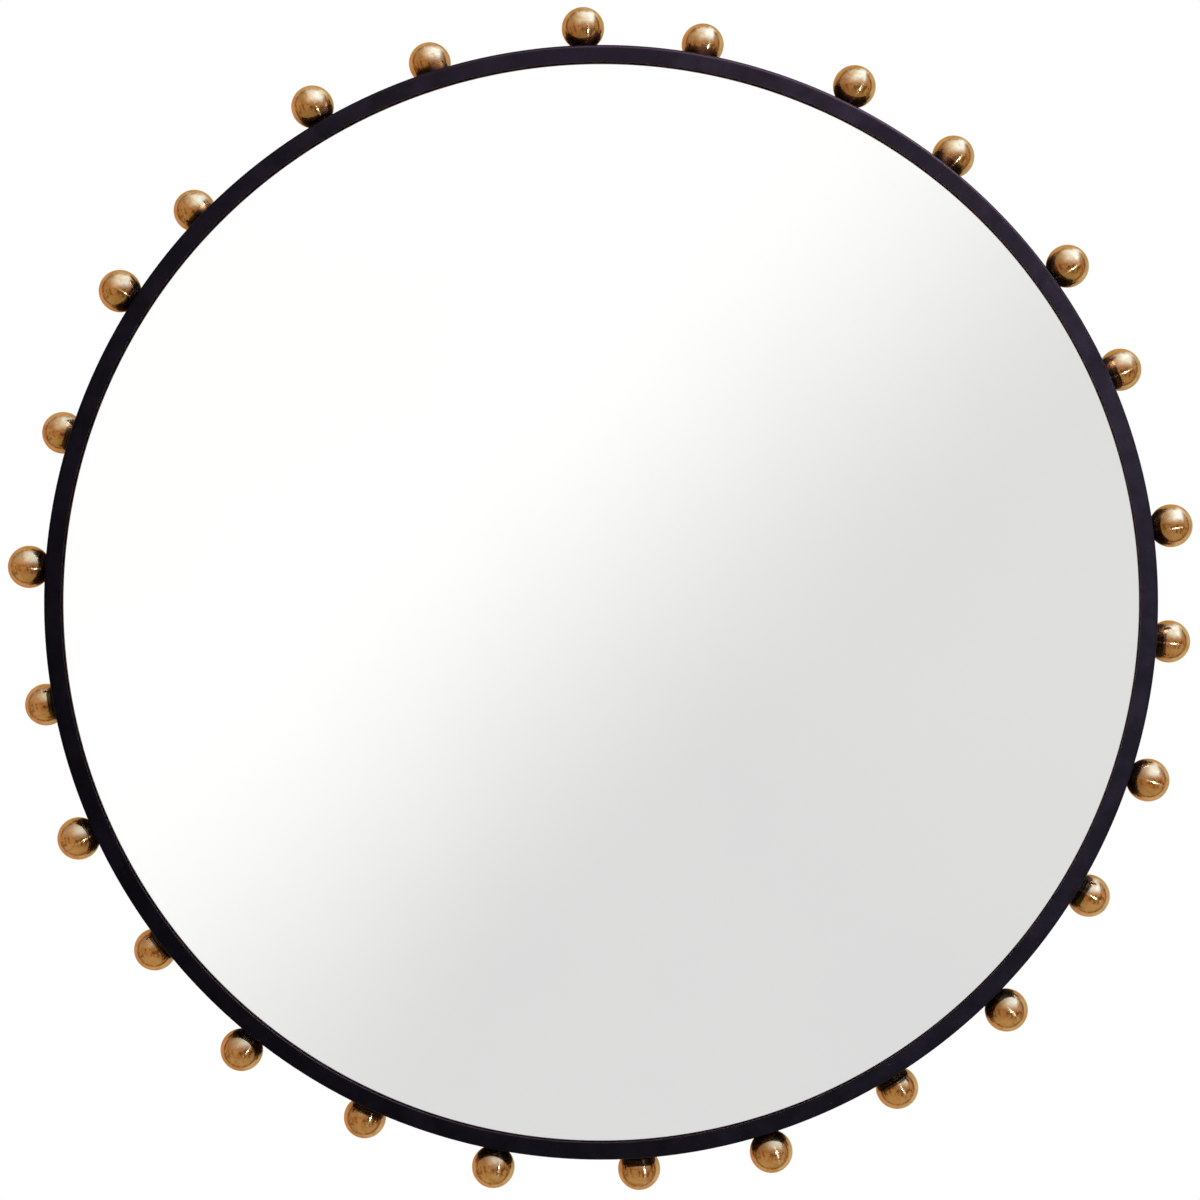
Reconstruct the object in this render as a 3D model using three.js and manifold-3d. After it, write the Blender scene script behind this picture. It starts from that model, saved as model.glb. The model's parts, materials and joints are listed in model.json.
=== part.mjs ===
// Round wall mirror with brass balls set in two staggered rows round a deep, dark steel rim.
//
// Millimetres. +Z is up, +X is to the right as seen from the front, and the mirror looks
// along -Y. The wall is the plane y = 0 and the origin is on it, behind the glass's centre.
// The rim is one rolled steel band with a narrow front face. Each ball is screwed on by its
// own stud, and each stud of the front row also holds a clip that keeps the glass in.

import * as THREE from 'three';
import { mergeVertices } from 'three/addons/utils/BufferGeometryUtils.js';
import Module from 'manifold-3d';

const wasm = await Module();
wasm.setup();

// ---- Driving dimensions ----------------------------------------------------------------

// Frame band
const frameRadius = 493.5;
const frameDepth = 76;
const faceWidth = 15.6;
const steelThickness = 2;
const cornerRadius = 3;
const sightChamfer = 0.5;
const wallStandoff = 2;

// Balls: angles go anticlockwise from the right as seen from the front. They were marked out
// by hand, so the steps are not quite even. The two rows take turns round the rim.
const ballDiameter = 38.1;
const ballSeatDiameter = 14;
const frontRowDepth = 20;
const backRowDepth = 56;
const frontRowAngles = [7.5, 35.5, 63.5, 91.5, 120, 147, 176.5, 204.5, 231.5, 259.5, 287.5, 315, 342];
const backRowAngles = [24, 51.5, 79.5, 107.5, 136, 162.5, 190.5, 218, 245.5, 274, 301.5, 329, 356];
const studDiameter = 5;
const studLength = 12;
const studHolePlay = 0.8;

// Glass pack, front to back: foam ring, mirror, board
const glassThickness = 4;
const glassEdgePlay = 2;
const glassEdgeChamfer = 0.6;
const cushionThickness = 1;
const cushionWidth = 8;
const cushionSetback = 2.5;
const boardThickness = 3;
const boardEdgePlay = 2.5;

// Clips that press on the board
const clipWidth = 18;
const clipThickness = 2;
const clipFootLength = 18;
const clipLegLength = 16;
const clipBendRadius = 3;

// Plates welded inside the rim near the wall
const plateAngle = 45;
const plateLength = 108;
const plateReach = 54;
const plateThickness = 3;
const plateCornerRadius = 8;
const plateToWall = 8;

// Push-in rubber bumpers that meet the wall
const bumperDiameter = 20;
const bumperWallDiameter = 17;
const bumperStemDiameter = 6;
const bumperBarbDiameter = 9;
const bumperBarbLength = 4;
const bumperHolePlay = 0.8;
const upperBumperShift = 36;

// Strap hangers and their rings
const strapThickness = 1.5;
const strapWidth = 14;
const strapLength = 40;
const strapEndRadius = 6;
const strapGap = 0.4;
const hangerShift = 14;
const ringWireDiameter = 3.2;
const ringPlay = 0.4;
const ringEyeWidth = 20;
const ringEyeHeight = 12;
const ringCornerRadius = 3;
const ringToRim = 2;
const screwDiameter = 4;
const screwHeadDiameter = 8;
const screwHeadHeight = 2.4;
const screwLength = 9;
const screwHolePlay = 0.8;
const screwFromPivot = 23;
const screwSpacing = 11;

// Gap left between pieces that touch
const seatGap = 0.3;

// Facets
const bandSegments = 96;
const ballSegments = 14;
const ballRows = 6;
const cornerSteps = 3;
const holeSides = 12;
const ringWireSides = 6;

// ---- Worked-out places -----------------------------------------------------------------

const frontY = -wallStandoff - frameDepth;
const faceBackY = frontY + steelThickness;
const cushionFrontY = faceBackY + seatGap;
const glassFrontY = cushionFrontY + cushionThickness + seatGap;
const boardFrontY = glassFrontY + glassThickness + seatGap;
const clipFrontY = boardFrontY + boardThickness + seatGap;
const frontRowY = frontY + frontRowDepth;
const backRowY = frontY + backRowDepth;
const plateBackY = -plateToWall;

const sightRadius = frameRadius - faceWidth;
const rimInnerRadius = frameRadius - steelThickness;
// The band is a polygon, so the room inside it is a little less than its radius.
const roomInRim = rimInnerRadius * Math.cos(Math.PI / bandSegments) - seatGap;

const ballRadius = ballDiameter / 2;
const ballSeatRadius = ballSeatDiameter / 2;
const ballSeatDrop = Math.sqrt(ballRadius ** 2 - ballSeatRadius ** 2);
const ballCentreRadius = frameRadius + seatGap + ballSeatDrop;

const strapBackY = plateBackY + seatGap + strapThickness;
const ringWireRadius = ringWireDiameter / 2;
const knuckleBore = ringWireRadius + ringPlay;
const pivotY = strapBackY + Math.max(knuckleBore, ringWireRadius + strapGap);
const ringHalfWidth = ringEyeWidth / 2 + ringWireRadius;
const bowCentreZ = ringHalfWidth - ringEyeHeight - ringWireDiameter;
// A ring that stands up over its hook clears the rim.
const standingBowReach = roomInRim - ringToRim - ringHalfWidth - ringWireRadius;
const screwDrops = [screwFromPivot, screwFromPivot + screwSpacing];

const steelBlack = { color: 0x221f26, roughness: 0.42, metalness: 0.6 };
const agedBrass = { color: 0xc08a45, roughness: 0.16, metalness: 1.0 };
const silvered = { color: 0xe8eaec, roughness: 0.02, metalness: 1.0 };
const foam = { color: 0x2a2a2c, roughness: 0.95, metalness: 0.0 };
const hardboard = { color: 0x6b4a30, roughness: 0.85, metalness: 0.0 };
const zincPlate = { color: 0xb9bcbd, roughness: 0.35, metalness: 0.9 };
const blackRubber = { color: 0x18181a, roughness: 0.8, metalness: 0.0 };

// ---- Helpers ---------------------------------------------------------------------------

const model = new THREE.Group();

/** Adds one named piece to the parent. */
function addPiece(parent, name, geometry, finish) {
  const mesh = new THREE.Mesh(geometry, new THREE.MeshStandardMaterial(finish));
  mesh.name = name;
  parent.add(mesh);
  return mesh;
}

/** A group turned so that its +X points out along the angle and its +Z runs round the rim. */
function spoke(angle) {
  const group = new THREE.Group();
  group.rotation.y = -THREE.MathUtils.degToRad(angle);
  model.add(group);
  return group;
}

/** Keeps the position only and joins shared corners, so that the mesh is closed. */
function welded(geometry) {
  geometry.deleteAttribute('normal');
  geometry.deleteAttribute('uv');
  return mergeVertices(geometry);
}

/** A closed mesh as a solid that can be cut. */
function toSolid(geometry) {
  const closed = welded(geometry);
  return new wasm.Manifold(new wasm.Mesh({
    numProp: 3,
    vertProperties: new Float32Array(closed.attributes.position.array),
    triVerts: new Uint32Array(closed.index.array),
  }));
}

/** A solid back as a mesh. */
function toGeometry(solid) {
  const mesh = solid.getMesh();
  const geometry = new THREE.BufferGeometry();
  geometry.setAttribute('position', new THREE.BufferAttribute(mesh.vertProperties, 3));
  geometry.setIndex(new THREE.BufferAttribute(mesh.triVerts, 1));
  geometry.computeVertexNormals();
  return geometry;
}

/** Points on an arc, both ends included; angles in degrees. */
function arc(centreX, centreY, radius, from, to, steps) {
  const points = [];
  for (let i = 0; i <= steps; i += 1) {
    const angle = THREE.MathUtils.degToRad(from + ((to - from) * i) / steps);
    points.push([centreX + radius * Math.cos(angle), centreY + radius * Math.sin(angle)]);
  }
  return points;
}

/** Revolves [radius, y] points about Y; a ring's profile is closed on itself. */
function revolve(points, segments, isRing = false) {
  const profile = isRing ? [...points, points[0]] : points;
  return new THREE.LatheGeometry(profile.map(([r, y]) => new THREE.Vector2(r, y)), segments);
}

/** Extrudes an outline of [x, y] points, centred on z = 0. */
function extrude(points, depth) {
  const shape = new THREE.Shape(points.map(([x, y]) => new THREE.Vector2(x, y)));
  return new THREE.ExtrudeGeometry(shape, { depth, bevelEnabled: false }).translate(0, 0, -depth / 2);
}

/** Lays a shape drawn in X and Z flat against the wall side: it ends at backY. */
function layFlat(shape, thickness, backY) {
  const settings = { depth: thickness, bevelEnabled: false, curveSegments: holeSides };
  const geometry = new THREE.ExtrudeGeometry(shape, settings);
  return geometry.rotateX(Math.PI / 2).translate(0, backY, 0);
}

/** A round hole for a flat shape. */
function roundHole(x, z, diameter) {
  return new THREE.Path().absarc(x, z, diameter / 2, 0, 2 * Math.PI, true);
}

/** A drill along the spoke, from the rim's inside to its outside. */
function radialDrill(y, diameter) {
  const length = 4 * steelThickness;
  const drill = new THREE.CylinderGeometry(diameter / 2, diameter / 2, length, holeSides);
  return drill.rotateZ(Math.PI / 2).translate(rimInnerRadius, y, 0);
}

/** A piece's number with two digits. */
function twoDigits(number) {
  return String(number).padStart(2, '0');
}

// ---- Frame -----------------------------------------------------------------------------

/** The rim band with its face turned in, rounded at the front outside, drilled for the studs. */
function frameBand(balls) {
  const profile = [
    [sightRadius + sightChamfer, frontY],
    ...arc(frameRadius - cornerRadius, frontY + cornerRadius, cornerRadius, -90, 0, cornerSteps),
    [frameRadius, -wallStandoff],
    [rimInnerRadius, -wallStandoff],
    [rimInnerRadius, faceBackY],
    [sightRadius, faceBackY],
    [sightRadius, frontY + sightChamfer],
  ];
  let band = toSolid(revolve(profile, bandSegments, true));
  for (const { angle, y } of balls) {
    const drill = radialDrill(y, studDiameter + studHolePlay);
    band = band.subtract(toSolid(drill.rotateY(-THREE.MathUtils.degToRad(angle))));
  }
  return toGeometry(band);
}

// ---- Balls -----------------------------------------------------------------------------

/** A ball flattened where it seats, with its stud; local +Y points away from the rim. */
function ballGeometry() {
  const studRadius = studDiameter / 2;
  const seatAngle = THREE.MathUtils.radToDeg(Math.atan2(-ballSeatDrop, ballSeatRadius));
  const sphere = arc(0, 0, ballRadius, seatAngle, 90, ballRows);
  sphere[sphere.length - 1][0] = 0;
  return revolve([
    [0, -ballSeatDrop - studLength],
    [studRadius, -ballSeatDrop - studLength],
    [studRadius, -ballSeatDrop],
    ...sphere,
  ], ballSegments);
}

/** Every ball's place, in order round the rim from the right. */
function ballPlaces() {
  const front = frontRowAngles.map((angle) => ({ angle, y: frontRowY }));
  const back = backRowAngles.map((angle) => ({ angle, y: backRowY }));
  return [...front, ...back].sort((a, b) => a.angle - b.angle);
}

// ---- Glass pack ------------------------------------------------------------------------

/** The foam ring that the glass beds on. */
function cushionGeometry() {
  const inner = sightRadius + cushionSetback;
  const outer = inner + cushionWidth;
  const backY = cushionFrontY + cushionThickness;
  const profile = [[inner, cushionFrontY], [outer, cushionFrontY], [outer, backY], [inner, backY]];
  return revolve(profile, bandSegments, true);
}

/** The mirror, with its front edge eased. */
function glassGeometry() {
  const radius = rimInnerRadius - glassEdgePlay;
  const backY = glassFrontY + glassThickness;
  return revolve([
    [0, glassFrontY],
    [radius - glassEdgeChamfer, glassFrontY],
    [radius, glassFrontY + glassEdgeChamfer],
    [radius, backY],
    [0, backY],
  ], bandSegments);
}

/** The hardboard back. */
function boardGeometry() {
  const radius = rimInnerRadius - boardEdgePlay;
  const backY = boardFrontY + boardThickness;
  return revolve([[0, boardFrontY], [radius, boardFrontY], [radius, backY], [0, backY]], bandSegments);
}

// ---- Clips -----------------------------------------------------------------------------

/** A bent clip: the leg stands against the rim round a stud, the foot presses on the board. */
function clipGeometry() {
  // A straight leg meets the curved rim at its two long edges.
  const legOuter = Math.sqrt(roomInRim ** 2 - (clipWidth / 2) ** 2);
  const bendX = legOuter - clipBendRadius;
  const bendY = clipFrontY + clipBendRadius;
  const innerBend = clipBendRadius - clipThickness;
  const legTopY = clipFrontY + clipLegLength;
  const footTipX = legOuter - clipFootLength;
  const outline = [
    [footTipX, clipFrontY],
    ...arc(bendX, bendY, clipBendRadius, -90, 0, cornerSteps),
    [legOuter, legTopY],
    [legOuter - clipThickness, legTopY],
    ...arc(bendX, bendY, innerBend, 0, -90, cornerSteps),
    [footTipX, clipFrontY + clipThickness],
  ];
  const clip = toSolid(extrude(outline, clipWidth));
  return toGeometry(clip.subtract(toSolid(radialDrill(frontRowY, studDiameter + studHolePlay))));
}

// ---- Wall plates, bumpers and hangers --------------------------------------------------

/** A point in X and Z, given along and across the spoke at the angle. */
function onSpoke(angle, along, across) {
  const turn = THREE.MathUtils.degToRad(angle);
  return new THREE.Vector2(along, across).rotateAround(new THREE.Vector2(), turn);
}

/** A flat plate whose outer edge follows the rim and whose inner edge is straight. */
function wallPlateGeometry(angle, holes) {
  const half = plateLength / 2;
  const innerEdge = roomInRim - plateReach;
  const endAngle = THREE.MathUtils.radToDeg(Math.asin(half / roomInRim));
  const edgeX = innerEdge + plateCornerRadius;
  const edgeZ = half - plateCornerRadius;
  const outline = [
    ...arc(0, 0, roomInRim, -endAngle, endAngle, holeSides),
    ...arc(edgeX, edgeZ, plateCornerRadius, 90, 180, cornerSteps),
    ...arc(edgeX, -edgeZ, plateCornerRadius, 180, 270, cornerSteps),
  ];
  const shape = new THREE.Shape(outline.map(([x, z]) => onSpoke(angle, x, z)));
  shape.holes = holes.map(({ x, z, diameter }) => roundHole(x, z, diameter));
  return layFlat(shape, plateThickness, plateBackY);
}

/** A bumper: the head meets the wall, the barbed stem is pushed through the plate. */
function bumperGeometry() {
  const headFrontY = plateBackY + seatGap;
  const barbBackY = plateBackY - plateThickness - seatGap;
  const stemRadius = bumperStemDiameter / 2;
  return revolve([
    [0, barbBackY - bumperBarbLength],
    [stemRadius - 1, barbBackY - bumperBarbLength],
    [bumperBarbDiameter / 2, barbBackY],
    [stemRadius, barbBackY],
    [stemRadius, headFrontY],
    [bumperDiameter / 2, headFrontY],
    [bumperWallDiameter / 2, 0],
    [0, 0],
  ], holeSides);
}

/** The strap, folded round the ring's bar at the top; its own X is 0 and the bar is at z = 0. */
function strapGeometry() {
  const backY = strapBackY - pivotY;
  const frontFaceY = backY - strapThickness;
  const outer = -frontFaceY;
  const inner = outer - strapThickness;
  // The curl stops short of the strap's own back face.
  const curlEnd = -180 + THREE.MathUtils.radToDeg(Math.acos(inner / outer)) + 12;
  const curlSteps = 10;
  const side = [
    [frontFaceY, -strapLength],
    [backY, -strapLength],
    ...arc(0, 0, inner, 180, curlEnd, curlSteps),
    ...arc(0, 0, outer, curlEnd, 180, curlSteps),
  ];
  const toSideView = new THREE.Matrix4().makeBasis(
    new THREE.Vector3(0, 1, 0),
    new THREE.Vector3(0, 0, 1),
    new THREE.Vector3(1, 0, 0),
  );
  const folded = toSolid(extrude(side, strapWidth).applyMatrix4(toSideView));

  const half = strapWidth / 2;
  const bottom = -strapLength + strapEndRadius;
  const outline = [
    [half, outer],
    [-half, outer],
    ...arc(-half + strapEndRadius, bottom, strapEndRadius, 180, 270, cornerSteps),
    ...arc(half - strapEndRadius, bottom, strapEndRadius, 270, 360, cornerSteps),
  ];
  const face = new THREE.Shape(outline.map(([x, z]) => new THREE.Vector2(x, z)));
  face.holes = screwDrops.map((drop) => roundHole(0, -drop, screwDiameter + screwHolePlay));
  const cutter = toSolid(layFlat(face, 4 * outer, 2 * outer));
  return toGeometry(folded.intersect(cutter));
}

/** A closed loop of round wire in the X-Z plane, along a loop of [x, z] points. */
function wireLoop(points, radius, sides) {
  const corners = [];
  const triangles = [];
  const count = points.length;
  points.forEach(([x, z], i) => {
    const [beforeX, beforeZ] = points[(i + count - 1) % count];
    const [afterX, afterZ] = points[(i + 1) % count];
    const across = new THREE.Vector2(afterZ - beforeZ, beforeX - afterX).normalize();
    for (let j = 0; j < sides; j += 1) {
      const turn = (2 * Math.PI * j) / sides;
      const offset = radius * Math.cos(turn);
      corners.push(x + offset * across.x, radius * Math.sin(turn), z + offset * across.y);
      const here = i * sides + j;
      const beside = i * sides + ((j + 1) % sides);
      const ahead = ((i + 1) % count) * sides + j;
      const aheadBeside = ((i + 1) % count) * sides + ((j + 1) % sides);
      triangles.push(here, beside, ahead, beside, aheadBeside, ahead);
    }
  });
  const geometry = new THREE.BufferGeometry();
  geometry.setAttribute('position', new THREE.Float32BufferAttribute(corners, 3));
  geometry.setIndex(triangles);
  geometry.computeVertexNormals();
  return geometry;
}

/** The ring: a straight bar at z = 0 with the bow hanging below it. */
function hangerRingGeometry() {
  const cornerX = ringHalfWidth - ringCornerRadius;
  const cornerZ = -ringCornerRadius;
  const bowSteps = 10;
  const path = [
    ...arc(cornerX, cornerZ, ringCornerRadius, 90, 0, cornerSteps),
    ...arc(0, bowCentreZ, ringHalfWidth, 0, -180, bowSteps),
    ...arc(-cornerX, cornerZ, ringCornerRadius, 180, 90, cornerSteps),
  ];
  return wireLoop(path, ringWireRadius, ringWireSides);
}

/** A pan-head screw with its head's underside at y = 0 and its head towards the wall. */
function screwGeometry() {
  const radius = screwDiameter / 2;
  const headRadius = screwHeadDiameter / 2;
  const rim = screwHeadHeight / 2;
  return revolve([
    [0, -screwLength],
    [radius, -screwLength],
    [radius, 0],
    [headRadius, 0],
    [headRadius, rim],
    [headRadius - rim, screwHeadHeight],
    [0, screwHeadHeight],
  ], holeSides);
}

// ---- Assembly --------------------------------------------------------------------------

const balls = ballPlaces();
addPiece(model, 'frame_ring', frameBand(balls), steelBlack);
addPiece(model, 'glass_cushion_ring', cushionGeometry(), foam);
addPiece(model, 'mirror_glass', glassGeometry(), silvered);
addPiece(model, 'backing_board', boardGeometry(), hardboard);

const oneBall = ballGeometry();
balls.forEach(({ angle, y }, i) => {
  const ball = addPiece(spoke(angle), `ball_${twoDigits(i + 1)}`, oneBall, agedBrass);
  ball.position.set(ballCentreRadius, y, 0);
  ball.rotation.z = -Math.PI / 2;
});

const oneClip = clipGeometry();
frontRowAngles.forEach((angle, i) => {
  addPiece(spoke(angle), `glass_clip_${twoDigits(i + 1)}`, oneClip, zincPlate);
});

const plateMiddle = roomInRim - plateReach / 2;
const oneBumper = bumperGeometry();
const oneStrap = strapGeometry();
const oneRing = hangerRingGeometry();
const oneScrew = screwGeometry();

/** A wall plate with its bumper and, on an upper plate, its hanger. */
function addWallPlate(place, angle, bumperAcross, hangerAcross) {
  const bumper = onSpoke(angle, plateMiddle, bumperAcross);
  const holes = [{ x: bumper.x, z: bumper.y, diameter: bumperStemDiameter + bumperHolePlay }];
  const pad = addPiece(model, `wall_bumper_${place}`, oneBumper, blackRubber);
  pad.position.set(bumper.x, 0, bumper.y);

  if (hangerAcross !== null) {
    const side = place.replace('upper_', '');
    const middle = onSpoke(angle, plateMiddle, hangerAcross);
    const pivotZ = Math.sqrt(standingBowReach ** 2 - middle.x ** 2) + bowCentreZ;
    const strap = addPiece(model, `hanger_strap_${side}`, oneStrap, zincPlate);
    strap.position.set(middle.x, pivotY, pivotZ);
    const ring = addPiece(model, `hanger_ring_${side}`, oneRing, zincPlate);
    ring.position.set(middle.x, pivotY, pivotZ);
    screwDrops.forEach((drop, i) => {
      const screw = addPiece(model, `strap_screw_${side}_${i + 1}`, oneScrew, zincPlate);
      screw.position.set(middle.x, strapBackY + seatGap, pivotZ - drop);
      holes.push({ x: middle.x, z: pivotZ - drop, diameter: screwDiameter + screwHolePlay });
    });
  }
  addPiece(model, `wall_plate_${place}`, wallPlateGeometry(angle, holes), steelBlack);
}

addWallPlate('upper_right', plateAngle, -upperBumperShift, hangerShift);
addWallPlate('upper_left', 180 - plateAngle, upperBumperShift, -hangerShift);
addWallPlate('lower_left', 180 + plateAngle, 0, null);
addWallPlate('lower_right', -plateAngle, 0, null);

export default model;
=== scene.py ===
"""Round wall mirror with brass balls round a deep black steel rim: the visible model.

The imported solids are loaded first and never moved. Every piece below is built where its solid
is, in metres: +X to the right as seen from the front, +Z up, the wall at y = 0 and the glass
facing -Y.
"""

import json
import logging
import math
from collections.abc import Callable, Sequence
from dataclasses import dataclass, field
from enum import Enum
from functools import reduce

import bmesh
import bpy
from mathutils import Matrix, Vector


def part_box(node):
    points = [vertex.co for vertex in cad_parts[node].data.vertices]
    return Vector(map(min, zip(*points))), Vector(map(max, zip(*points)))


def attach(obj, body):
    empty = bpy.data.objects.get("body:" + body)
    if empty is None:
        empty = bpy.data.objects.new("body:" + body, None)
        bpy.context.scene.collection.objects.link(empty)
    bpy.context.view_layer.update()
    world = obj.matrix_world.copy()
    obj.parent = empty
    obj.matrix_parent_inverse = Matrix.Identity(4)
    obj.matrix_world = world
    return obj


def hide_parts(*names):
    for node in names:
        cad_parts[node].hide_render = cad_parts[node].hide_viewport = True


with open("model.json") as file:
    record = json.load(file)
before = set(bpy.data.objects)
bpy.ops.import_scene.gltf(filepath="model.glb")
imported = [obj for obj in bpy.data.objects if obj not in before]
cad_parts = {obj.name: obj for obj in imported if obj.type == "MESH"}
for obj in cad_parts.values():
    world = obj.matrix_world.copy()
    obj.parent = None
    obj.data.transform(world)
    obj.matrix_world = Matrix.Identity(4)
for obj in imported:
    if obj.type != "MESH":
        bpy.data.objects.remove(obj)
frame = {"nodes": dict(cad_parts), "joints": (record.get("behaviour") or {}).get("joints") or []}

LOG = logging.getLogger("ball_mirror")
MM = 0.001
GUARD = 1.25
SHEET = 2.0 * MM
CLIP_SHEET = 2.0 * MM
HEX_SIDE = 60.0
TIP_STEPS = 8
TIP_FULLNESS = 0.9
SHARP = 32.0
BODY_FRAME = "frame"

Point = tuple[float, float]
Corner = tuple[float, float, float]
Colour = tuple[float, float, float]
Socket = bpy.types.NodeSocket
WHITE: Colour = (1.0, 1.0, 1.0)
FADE: Point = (1.0, 0.0)
MIDDLING: Point = (0.3, 0.7)
IN_THE_WALL_PLANE: Corner = (1.0, 0.0, 1.0)


class Slot(Enum):
    """The record's material slots."""

    BLACK_STEEL = "black_steel"
    AGED_BRASS = "aged_brass"
    MIRROR = "mirror"
    FOAM = "foam"
    HARDBOARD = "hardboard"
    ZINC_STEEL = "zinc_steel"
    RUBBER = "rubber"


class Side(Enum):
    """The two hangers' sides, as seen from the front."""

    RIGHT = "right"
    LEFT = "left"


# ---- Node graphs -------------------------------------------------------------------------


@dataclass(frozen=True)
class Cloud:
    """A cloudy pattern: features per metre, octaves, how strong they are, and its warp."""

    scale: float = 1.0
    detail: float = 3.0
    rough: float = 0.5
    warp: float = 0.0


class Graph:
    """Builds a node tree in short steps, for a material or the world."""

    def __init__(self, tree: bpy.types.NodeTree) -> None:
        """Empties the tree that is to be filled."""
        self.tree = tree
        tree.nodes.clear()

    def node(self, kind: str, **settings: object) -> bpy.types.Node:
        """Adds a node.

        Args:
            kind: The node's type name.
            settings: Properties to set on it.

        Returns:
            The new node.
        """
        made = self.tree.nodes.new(kind)
        for name, value in settings.items():
            setattr(made, name, value)
        return made

    def feed(self, target: Socket, value: object) -> None:
        """Links a socket to the target, or sets the target's own value.

        Args:
            target: The input socket.
            value: An output socket, a number or a tuple.
        """
        if isinstance(value, bpy.types.NodeSocket):
            self.tree.links.new(value, target)
        elif isinstance(value, tuple) and len(value) == 3 and len(target.default_value) == 4:
            target.default_value = (*value, 1.0)
        else:
            target.default_value = value

    def math(self, operation: str, *values: object) -> Socket:
        """Does arithmetic on numbers or sockets.

        Args:
            operation: The Math node's operation.
            values: One to three inputs.

        Returns:
            The result's socket.
        """
        made = self.node("ShaderNodeMath", operation=operation)
        for target, value in zip(made.inputs, values):
            self.feed(target, value)
        return made.outputs[0]

    def vector(self, operation: str, *values: object) -> Socket:
        """Does vector arithmetic.

        Args:
            operation: The Vector Math node's operation.
            values: One or two inputs.

        Returns:
            The result's socket, which is a number for LENGTH.
        """
        made = self.node("ShaderNodeVectorMath", operation=operation)
        for target, value in zip(made.inputs, values):
            self.feed(target, value)
        return made.outputs["Value" if operation == "LENGTH" else "Vector"]

    def axes(self, value: Socket) -> Sequence[Socket]:
        """Takes a vector apart.

        Args:
            value: The vector.

        Returns:
            The sockets of its X, Y and Z.
        """
        made = self.node("ShaderNodeSeparateXYZ")
        self.feed(made.inputs[0], value)
        return made.outputs

    def all_of(self, *masks: Socket) -> Socket:
        """The product of several masks."""
        return reduce(lambda under, over: self.math("MULTIPLY", under, over), masks)

    def any_of(self, *masks: Socket) -> Socket:
        """The greatest of several masks."""
        return reduce(lambda under, over: self.math("MAXIMUM", under, over), masks)

    def spread(self, value: object, span: Point, out: Point = (0.0, 1.0)) -> Socket:
        """Takes a value's range smoothly to another range.

        Args:
            value: The input.
            span: Where the change starts and ends.
            out: The results at both ends.

        Returns:
            The mapped value's socket.
        """
        made = self.node("ShaderNodeMapRange", interpolation_type="SMOOTHSTEP")
        for name, given in zip(
            ("Value", "From Min", "From Max", "To Min", "To Max"), (value, *span, *out)
        ):
            self.feed(made.inputs[name], given)
        return made.outputs["Result"]

    def between(self, value: object, band: Point, soft: float) -> Socket:
        """A soft-edged band: 1 inside and 0 outside.

        Args:
            value: The input.
            band: The band's lower and upper edges.
            soft: The width of each soft edge.

        Returns:
            The mask's socket.
        """
        low, high = band
        rising = self.spread(value, (low - soft / 2, low + soft / 2))
        return self.all_of(rising, self.spread(value, (high - soft / 2, high + soft / 2), FADE))

    def mix(self, amount: object, under: object, over: object) -> Socket:
        """Lays one colour over another.

        Args:
            amount: How much of the upper colour shows.
            under: The lower colour.
            over: The upper colour.

        Returns:
            The colour's socket.
        """
        made = self.node("ShaderNodeMix", data_type="RGBA")
        for index, value in ((0, amount), (6, under), (7, over)):
            self.feed(made.inputs[index], value)
        return made.outputs[2]

    def noise(self, place: Socket, cloud: Cloud) -> Socket:
        """A cloudy pattern.

        Args:
            place: The coordinates.
            cloud: The pattern's settings.

        Returns:
            The pattern's value socket.
        """
        made = self.node("ShaderNodeTexNoise")
        for name, value in (
            ("Vector", place), ("Scale", cloud.scale), ("Detail", cloud.detail),
            ("Roughness", cloud.rough), ("Distortion", cloud.warp),
        ):
            self.feed(made.inputs[name], value)
        return made.outputs["Fac"]

    def stretched(self, place: Socket, scale: Corner, turn: Corner = (0.0, 0.0, 0.0)) -> Socket:
        """Coordinates turned and stretched, for grain and scratches.

        Args:
            place: The coordinates.
            scale: Scale along each axis.
            turn: Turn about each axis, in degrees.

        Returns:
            The new coordinates' socket.
        """
        made = self.node("ShaderNodeMapping")
        self.feed(made.inputs["Vector"], place)
        made.inputs["Scale"].default_value = scale
        made.inputs["Rotation"].default_value = [math.radians(angle) for angle in turn]
        return made.outputs["Vector"]


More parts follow.
